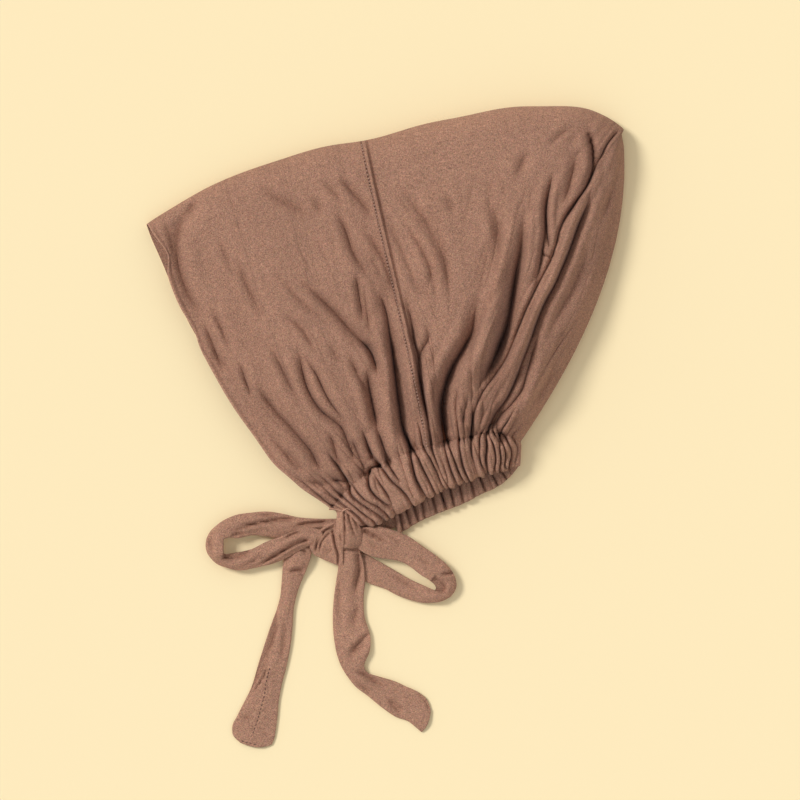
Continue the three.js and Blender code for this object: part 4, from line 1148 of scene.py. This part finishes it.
KNOT_BAND_CREASES = [
    (((344, 510), (344.5, 522), (344.8, 534), (345, 547)), 0.7, 0.6, -4.0, 0.05, 0.1),
    (((347.6, 511), (349.4, 521), (352.6, 530), (356, 538)), 0.9, 0.7, -2.8, 0.1, 0.3),
    (((351.5, 515), (356, 523), (359.8, 531)), 0.9, 0.8, -1.0, 0.2, 0.4),
    (((339, 530), (341, 538), (342, 546)), 0.8, 0.8, -1.0, 0.3, 0.1),
]
ROOT_NEAR = [
    ((333, 506), (352, 510), 10.5, 12.0, 4.0),
    ((336, 512), (353, 515), 10.5, 11.5, 4.4),
    ((338, 520), (356, 522), 9.5, 10.5, 4.4),
    ((340, 530), (358, 530), 8.0, 8.5, 4.0),
]
CASING_END = [
    ((329, 508.4), (329.2, 510.2), 12.4, 12.4, 2.6),
    ((333, 508.2), (333.1, 510.0), 13.0, 13.0, 2.8),
    ((337, 509.0), (337, 510.8), 13.4, 13.4, 2.8),
    ((340, 509.6), (340, 511.4), 13.8, 13.8, 2.8),
    ((342.6, 510.2), (343, 512.0), 14.0, 14.0, 2.8),
    ((344.6, 508.8), (345.2, 510.6), 14.2, 14.2, 2.8),
    ((347.4, 507.8), (347.6, 509.6), 14.4, 14.4, 2.8),
    ((350, 508.8), (349.8, 510.6), 14.2, 14.2, 2.6),
]
ROOT_FAR = [
    ((400, 526), (386, 508), 2.4, 2.6, 3.6),
    ((384, 531), (372, 517), 2.3, 2.6, 3.6),
    ((368, 536), (358, 524), 2.3, 2.6, 3.6),
    ((350, 540), (346, 530), 2.4, 2.6, 3.6),
]


# Height of the small crumples of the ties.
CRUMPLE = 0.22


def ribbon(name, rows, creases=(), *, steps, seed, around=40, end_bow=0.0, firm=0.75, pale=0.0):
    """A pressed tube of cloth between two edges, with creases in its upper face. end_bow rounds its end, firm
    is the share of the creases' relief that it takes, and pale makes it lighter."""
    a = mm([row[0] for row in rows])
    b = mm([row[1] for row in rows])
    rest = np.array([row[2:] for row in rows], float)
    middle = (a + b) / 2
    d = distances(middle, 1.0)
    s = np.linspace(0, d[-1], steps)
    first = np.concatenate([through(d, a, s), through(d, rest[:, 0:1], s)], axis=1)
    second = np.concatenate([through(d, b, s), through(d, rest[:, 1:2], s)], axis=1)
    thick = through(d, rest[:, 2:3], s)
    centre = (first + second) / 2
    half = (second - first) / 2
    ahead = np.gradient(centre, axis=0)
    ahead /= np.linalg.norm(ahead, axis=1, keepdims=True)
    up = np.cross(ahead, half)
    up /= np.linalg.norm(up, axis=1, keepdims=True)
    turned = np.sign(np.median(up[:, 2]))
    up = up * turned
    angle = np.linspace(0, 2 * math.pi, around, endpoint=False)
    across = np.sign(np.cos(angle)) * np.abs(np.cos(angle)) ** 0.8
    over = np.sign(np.sin(angle)) * np.abs(np.sin(angle)) ** 0.8
    swell = 0.8 + 0.2 * np.cos(across * math.pi)[None, :]
    swell = swell + 0.12 * ripple(s[:, None] / 14, across[None, :], seed)
    height = over[None, :] * thick / 2 * swell
    rings = centre[:, None] + half[:, None] * across[None, :, None] + up[:, None] * height[..., None]
    above = np.clip(over, 0, 1)[None, :]
    relief, crease_shade = fold_relief(rings[..., :2], creases)
    relief = relief * firm * ease(above / 0.6)
    # Painted shade at the bottoms of the creases on the upper face; pale takes the same amount off
    # everywhere, making the piece lighter.
    painted_shade = np.clip(crease_shade, 0, SHADE_LIMIT) * ease(above / 0.25) - pale
    lane = across[None, :] * 2.2 + 1.2 * ripple(s[:, None] / 22, across[None, :], seed + 1)
    crumple = (1 - 2 * np.abs(ripple(lane, s[:, None] / 17, seed + 2))) * CRUMPLE
    crumple = crumple + 0.4 * CRUMPLE * ripple(lane * 3, s[:, None] / 5, seed + 3)
    rings[..., 2] += relief + crumple * above
    if end_bow:
        push = end_bow * (1 - across[None, :] ** 2) * ease((s[:, None] - s[-1] + 14) / 14)
        rings += ahead[:, None] * push[..., None]
    rings[..., 2] = np.maximum(rings[..., 2], 0.05)
    if turned < 0:
        rings = rings[:, ::-1]
        painted_shade = painted_shade[:, ::-1]
    return tube(name, np.concatenate([rings, painted_shade[..., None]], axis=-1))


def upper_points(piece):
    """The points of a piece that face up, in millimetres."""
    points = np.empty(3 * len(piece.data.vertices))
    piece.data.vertices.foreach_get("co", points)
    normals = np.empty_like(points)
    piece.data.vertices.foreach_get("normal", normals)
    return points.reshape(-1, 3)[normals.reshape(-1, 3)[:, 2] > 0.3] * 1000


def stitch_line(piece, lines, pitch):
    """Places and directions of stitches along lines on a piece."""
    points = upper_points(piece)
    middles = []
    aheads = []
    for line in lines:
        path = smooth_path(line, 80)
        dist = ((points[None, :, :2] - path[:, None]) ** 2).sum(axis=-1)
        pick = np.argsort(dist, axis=1)[:, :4]
        weight = 1 / (np.take_along_axis(dist, pick, axis=1) + 0.05)
        z = (points[pick, 2] * weight).sum(axis=1) / weight.sum(axis=1)
        places, ahead = spaced(np.concatenate([path, z[:, None]], axis=1), pitch)
        middles.append(places)
        aheads.append(ahead)
    return np.concatenate(middles), np.concatenate(aheads)


# The stitch lines on the left tail.
TAIL_SEAMS = (
    ((269.5, 668), (266, 680), (264.5, 692), (261.5, 705), (257.5, 719), (252, 735)),
    ((240, 742), (247, 744), (255, 746)),
)

loop_left = ribbon("bow_loop_left_cloth", LOOP_LEFT, LOOP_LEFT_CREASES, steps=220, seed=31)
loop_right = ribbon("bow_loop_right_cloth", LOOP_RIGHT, LOOP_RIGHT_CREASES, steps=220, seed=41)
tail_left = ribbon("tie_tail_left_cloth", TAIL_LEFT, TAIL_LEFT_CREASES, steps=220, seed=51, end_bow=2.6)
tail_right = ribbon("tie_tail_right_cloth", TAIL_RIGHT, TAIL_RIGHT_CREASES, steps=220, seed=61, end_bow=2.0)
knot_core = ribbon("bow_knot_core", KNOT_CORE, steps=60, seed=71)
knot_fan = ribbon("bow_knot_fan", KNOT_FAN, KNOT_FAN_CREASES, around=60, steps=90, seed=73, firm=0.5)
knot_band = ribbon("bow_knot_band", KNOT_BAND, KNOT_BAND_CREASES, around=60, steps=90, seed=75, firm=0.5)
tail_places, tail_aheads = stitch_line(tail_left, TAIL_SEAMS, FINE_PITCH)
tail_stitch_shade = level_threads("tail_seam_thread", tail_places, tail_aheads, 0.8, 0.3, 0.26)
root_near = ribbon("tie_root_near_cloth", ROOT_NEAR, steps=60, seed=81)
root_far = ribbon("tie_root_far_cloth", ROOT_FAR, steps=60, seed=91)
casing_end = ribbon("casing_raw_end", CASING_END, around=16, steps=60, seed=95, pale=0.9)

# A thread's colour is the cloth's times HUE_START and a random share of HUE_SWING. DEEP_SHADE is the share
# of the colour that each unit of painted shade takes off; where the painted shade is below 0 it adds painted
# light.
HUE_SWING = (0.42, 0.32, 0.38)
HUE_START = (0.79, 0.84, 0.81)
DEEP_SHADE = (0.48, 0.57, 0.61)


def new_material(name, roughness):
    """A material and its shader."""
    material = bpy.data.materials.new(name)
    material.use_nodes = True
    shader = material.node_tree.nodes["Principled BSDF"]
    shader.inputs["Roughness"].default_value = roughness
    return material, shader


def cloth_material(name, colour, turn=0.0):
    """Matte woven cloth of uneven threads, with painted shade and light. turn lays the threads at an angle.
    """
    material, shader = new_material(name, 0.88)
    nodes = material.node_tree.nodes
    links = material.node_tree.links
    shader.inputs["Sheen Weight"].default_value = 0.08
    shader.inputs["Sheen Roughness"].default_value = 0.45
    shader.inputs["Specular IOR Level"].default_value = 0.18

    def node(kind, **values):
        made = nodes.new(kind)
        for key, value in values.items():
            if key in made.inputs:
                made.inputs[key].default_value = value
            else:
                setattr(made, key, value)
        return made

    def feed(socket, value):
        if isinstance(value, (float, tuple)):
            socket.default_value = value
        else:
            links.new(value, socket)

    def joined(kind, operation, a, b):
        made = node(kind, operation=operation)
        feed(made.inputs[0], a)
        feed(made.inputs["Scale" if operation == "SCALE" else 1], b)
        return made.outputs[0]

    def math_node(operation, a, b):
        return joined("ShaderNodeMath", operation, a, b)

    def vector_node(operation, a, b):
        return joined("ShaderNodeVectorMath", operation, a, b)

    place = node("ShaderNodeTexCoord").outputs["Object"]
    lay = node("ShaderNodeUVMap", uv_map="cloth").outputs["UV"]
    turned = node("ShaderNodeMapping", Rotation=(0, 0, turn))
    links.new(lay, turned.inputs["Vector"])

    def noise(scale, detail, source, output="Fac"):
        made = node("ShaderNodeTexNoise", Scale=scale, Detail=detail)
        links.new(source, made.inputs["Vector"])
        return made.outputs[output]

    def thread_lay(across, along):
        """Threads that are across wide and along long, in millimetres."""
        stretch = node("ShaderNodeMapping", Scale=(1000 / along, 1000 / across, 1))
        links.new(turned.outputs["Vector"], stretch.inputs["Vector"])
        return noise(1.0, 1.0, stretch.outputs["Vector"])

    blotch = noise(34, 4, place)
    slub = noise(320, 3, place)
    fibre = noise(1750, 2, place)
    warp = thread_lay(0.5, 2.6)
    weft = thread_lay(2.0, 0.5)

    def spread(fac, low, high, start=0.3, end=0.7):
        made = node("ShaderNodeMapRange")
        for key, value in (("From Min", start), ("From Max", end), ("To Min", low), ("To Max", high)):
            made.inputs[key].default_value = value
        links.new(fac, made.inputs["Value"])
        return made.outputs["Result"]

    tone = spread(blotch, 0.94, 1.05)
    for fac, low, high in ((slub, 0.93, 1.07), (fibre, 0.62, 1.42), (warp, 0.84, 1.16), (weft, 0.88, 1.12)):
        tone = math_node("MULTIPLY", tone, spread(fac, low, high))
    hues = vector_node("MULTIPLY", noise(1100, 2, place, "Color"), HUE_SWING)
    hues = vector_node("ADD", hues, HUE_START)
    coloured = vector_node("SCALE", vector_node("MULTIPLY", hues, colour), tone)
    # The colour is darkened by the shade painted on the mesh points, and made lighter where that is below 0,
    # as painted light.
    painted_shade = node("ShaderNodeAttribute", attribute_name="painted_shade").outputs["Fac"]
    shade = vector_node("SCALE", DEEP_SHADE, spread(painted_shade, -1.0, SHADE_LIMIT, -1.0, SHADE_LIMIT))
    shade = vector_node("SUBTRACT", (1.0, 1.0, 1.0), shade)
    links.new(vector_node("MULTIPLY", coloured, shade), shader.inputs["Base Color"])
    weave = math_node("ADD", math_node("MULTIPLY", warp, 0.8), math_node("MULTIPLY", weft, 0.6))
    weave = math_node("ADD", weave, math_node("MULTIPLY", fibre, 0.8))
    bump = node("ShaderNodeBump", Strength=0.9, Distance=0.0005)
    links.new(weave, bump.inputs["Height"])
    links.new(bump.outputs["Normal"], shader.inputs["Normal"])
    return material


def thread_material(name, colour):
    """Twisted sewing thread, a little lighter and darker along its length."""
    material, shader = new_material(name, 0.6)
    nodes = material.node_tree.nodes
    links = material.node_tree.links
    twist = nodes.new("ShaderNodeTexNoise")
    twist.inputs["Scale"].default_value = 2500
    coat = nodes.new("ShaderNodeTexCoord")
    links.new(coat.outputs["Object"], twist.inputs["Vector"])
    ramp = nodes.new("ShaderNodeValToRGB")
    for stop, share in zip(ramp.color_ramp.elements, (0.75, 1.2)):
        stop.color = (*[c * share for c in colour], 1)
    links.new(twist.outputs["Fac"], ramp.inputs["Fac"])
    links.new(ramp.outputs["Color"], shader.inputs["Base Color"])
    return material


CAP_COLOUR = (0.372, 0.197, 0.132)
TIE_COLOUR = (0.412, 0.22, 0.146)
# The thread of the crown seam and the casing is lighter than the cloth: its own colour with a painted
# highlight.
SEAM_THREAD_HIGHLIGHT_COLOUR = (0.42, 0.245, 0.18)
# The tail's stitches are near black-brown: thread painted with the shade of its needle holes.
TAIL_STITCH_SHADE_COLOUR = (0.13, 0.065, 0.045)
# The ties are cut at an angle to the weave.
TIE_TURN = 0.8
cap_cloth = cloth_material("woven_cap_cloth", CAP_COLOUR)
tie_cloth = cloth_material("woven_tie_cloth", TIE_COLOUR, TIE_TURN)
seam_thread_highlight_look = thread_material("seam_thread_highlight", SEAM_THREAD_HIGHLIGHT_COLOUR)
tail_stitch_shade_look = thread_material("tail_stitch_shade", TAIL_STITCH_SHADE_COLOUR)
for piece, node_name, slot, look in (
    (front, "front_panel", "cap_cloth", cap_cloth),
    (back, "back_panel", "cap_cloth", cap_cloth),
    (seam, "crown_seam", "seam_cloth", cap_cloth),
    (casing, "elastic_casing", "cap_cloth", cap_cloth),
    (casing_end, None, "cap_cloth", cap_cloth),
    (seam_thread_highlight, None, "seam_cloth", seam_thread_highlight_look),
    (casing_thread, None, "seam_cloth", seam_thread_highlight_look),
    (tail_stitch_shade, None, "tie_cloth", tail_stitch_shade_look),
    (loop_left, "bow_loop_left", "tie_cloth", tie_cloth),
    (loop_right, "bow_loop_right", "tie_cloth", tie_cloth),
    (tail_left, "tie_tail_left", "tie_cloth", tie_cloth),
    (tail_right, "tie_tail_right", "tie_cloth", tie_cloth),
    (root_near, "tie_root_near", "tie_cloth", tie_cloth),
    (root_far, "tie_root_far", "tie_cloth", tie_cloth),
    (knot_core, "bow_knot", "tie_cloth", tie_cloth),
    (knot_fan, None, "tie_cloth", tie_cloth),
    (knot_band, None, "tie_cloth", tie_cloth),
):
    piece.data.materials.append(look)
    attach(piece, "root")
    if node_name:
        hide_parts(node_name)

# Floor, light and camera
FLOOR_SIZE = 6
FLOOR_COLOUR = (1.0, 0.83, 0.51, 1)
SKY_STRENGTH = 0.58
SUN_STRENGTH = 1.9
SUN_ANGLE = 0.3
LIGHT_FROM = Vector((-2.0, 1.1, 2.2))
CAMERA_HEIGHT = 4.0
# The picture: its centre and width on the grid, metres in a step of it, and the height where that holds.
PICTURE_CENTRE = (400, 400)
PICTURE_WIDTH = 800
PICTURE_STEP = 0.00063066
PICTURE_LEVEL = 0.018
SENSOR = 36

bpy.ops.mesh.primitive_plane_add(size=FLOOR_SIZE, location=(0, 0, 0))
floor = bpy.context.object
floor.name = "table"
paint, paint_shader = new_material("table_cream", 0.95)
paint_shader.inputs["Base Color"].default_value = FLOOR_COLOUR
floor.data.materials.append(paint)

world = bpy.data.worlds.new("soft_room")
bpy.context.scene.world = world
world.use_nodes = True
sky = world.node_tree.nodes["Background"]
sky.inputs["Color"].default_value = (1, 1, 1, 1)
sky.inputs["Strength"].default_value = SKY_STRENGTH
bpy.context.scene.view_settings.view_transform = "Standard"

sun_data = bpy.data.lights.new("key_light", "SUN")
sun_data.energy = SUN_STRENGTH
sun_data.angle = SUN_ANGLE
sun = bpy.data.objects.new("key_light", sun_data)
sun.location = LIGHT_FROM
sun.rotation_euler = LIGHT_FROM.to_track_quat("Z", "Y").to_euler()
bpy.context.scene.collection.objects.link(sun)

camera_data = bpy.data.cameras.new("camera")
camera = bpy.data.objects.new("camera", camera_data)
bpy.context.scene.collection.objects.link(camera)
camera.location = (*(mm(PICTURE_CENTRE) * 0.001), CAMERA_HEIGHT)
camera_data.sensor_width = SENSOR
camera_data.lens = SENSOR * (CAMERA_HEIGHT - PICTURE_LEVEL) / (PICTURE_WIDTH * PICTURE_STEP)
bpy.context.scene.camera = camera
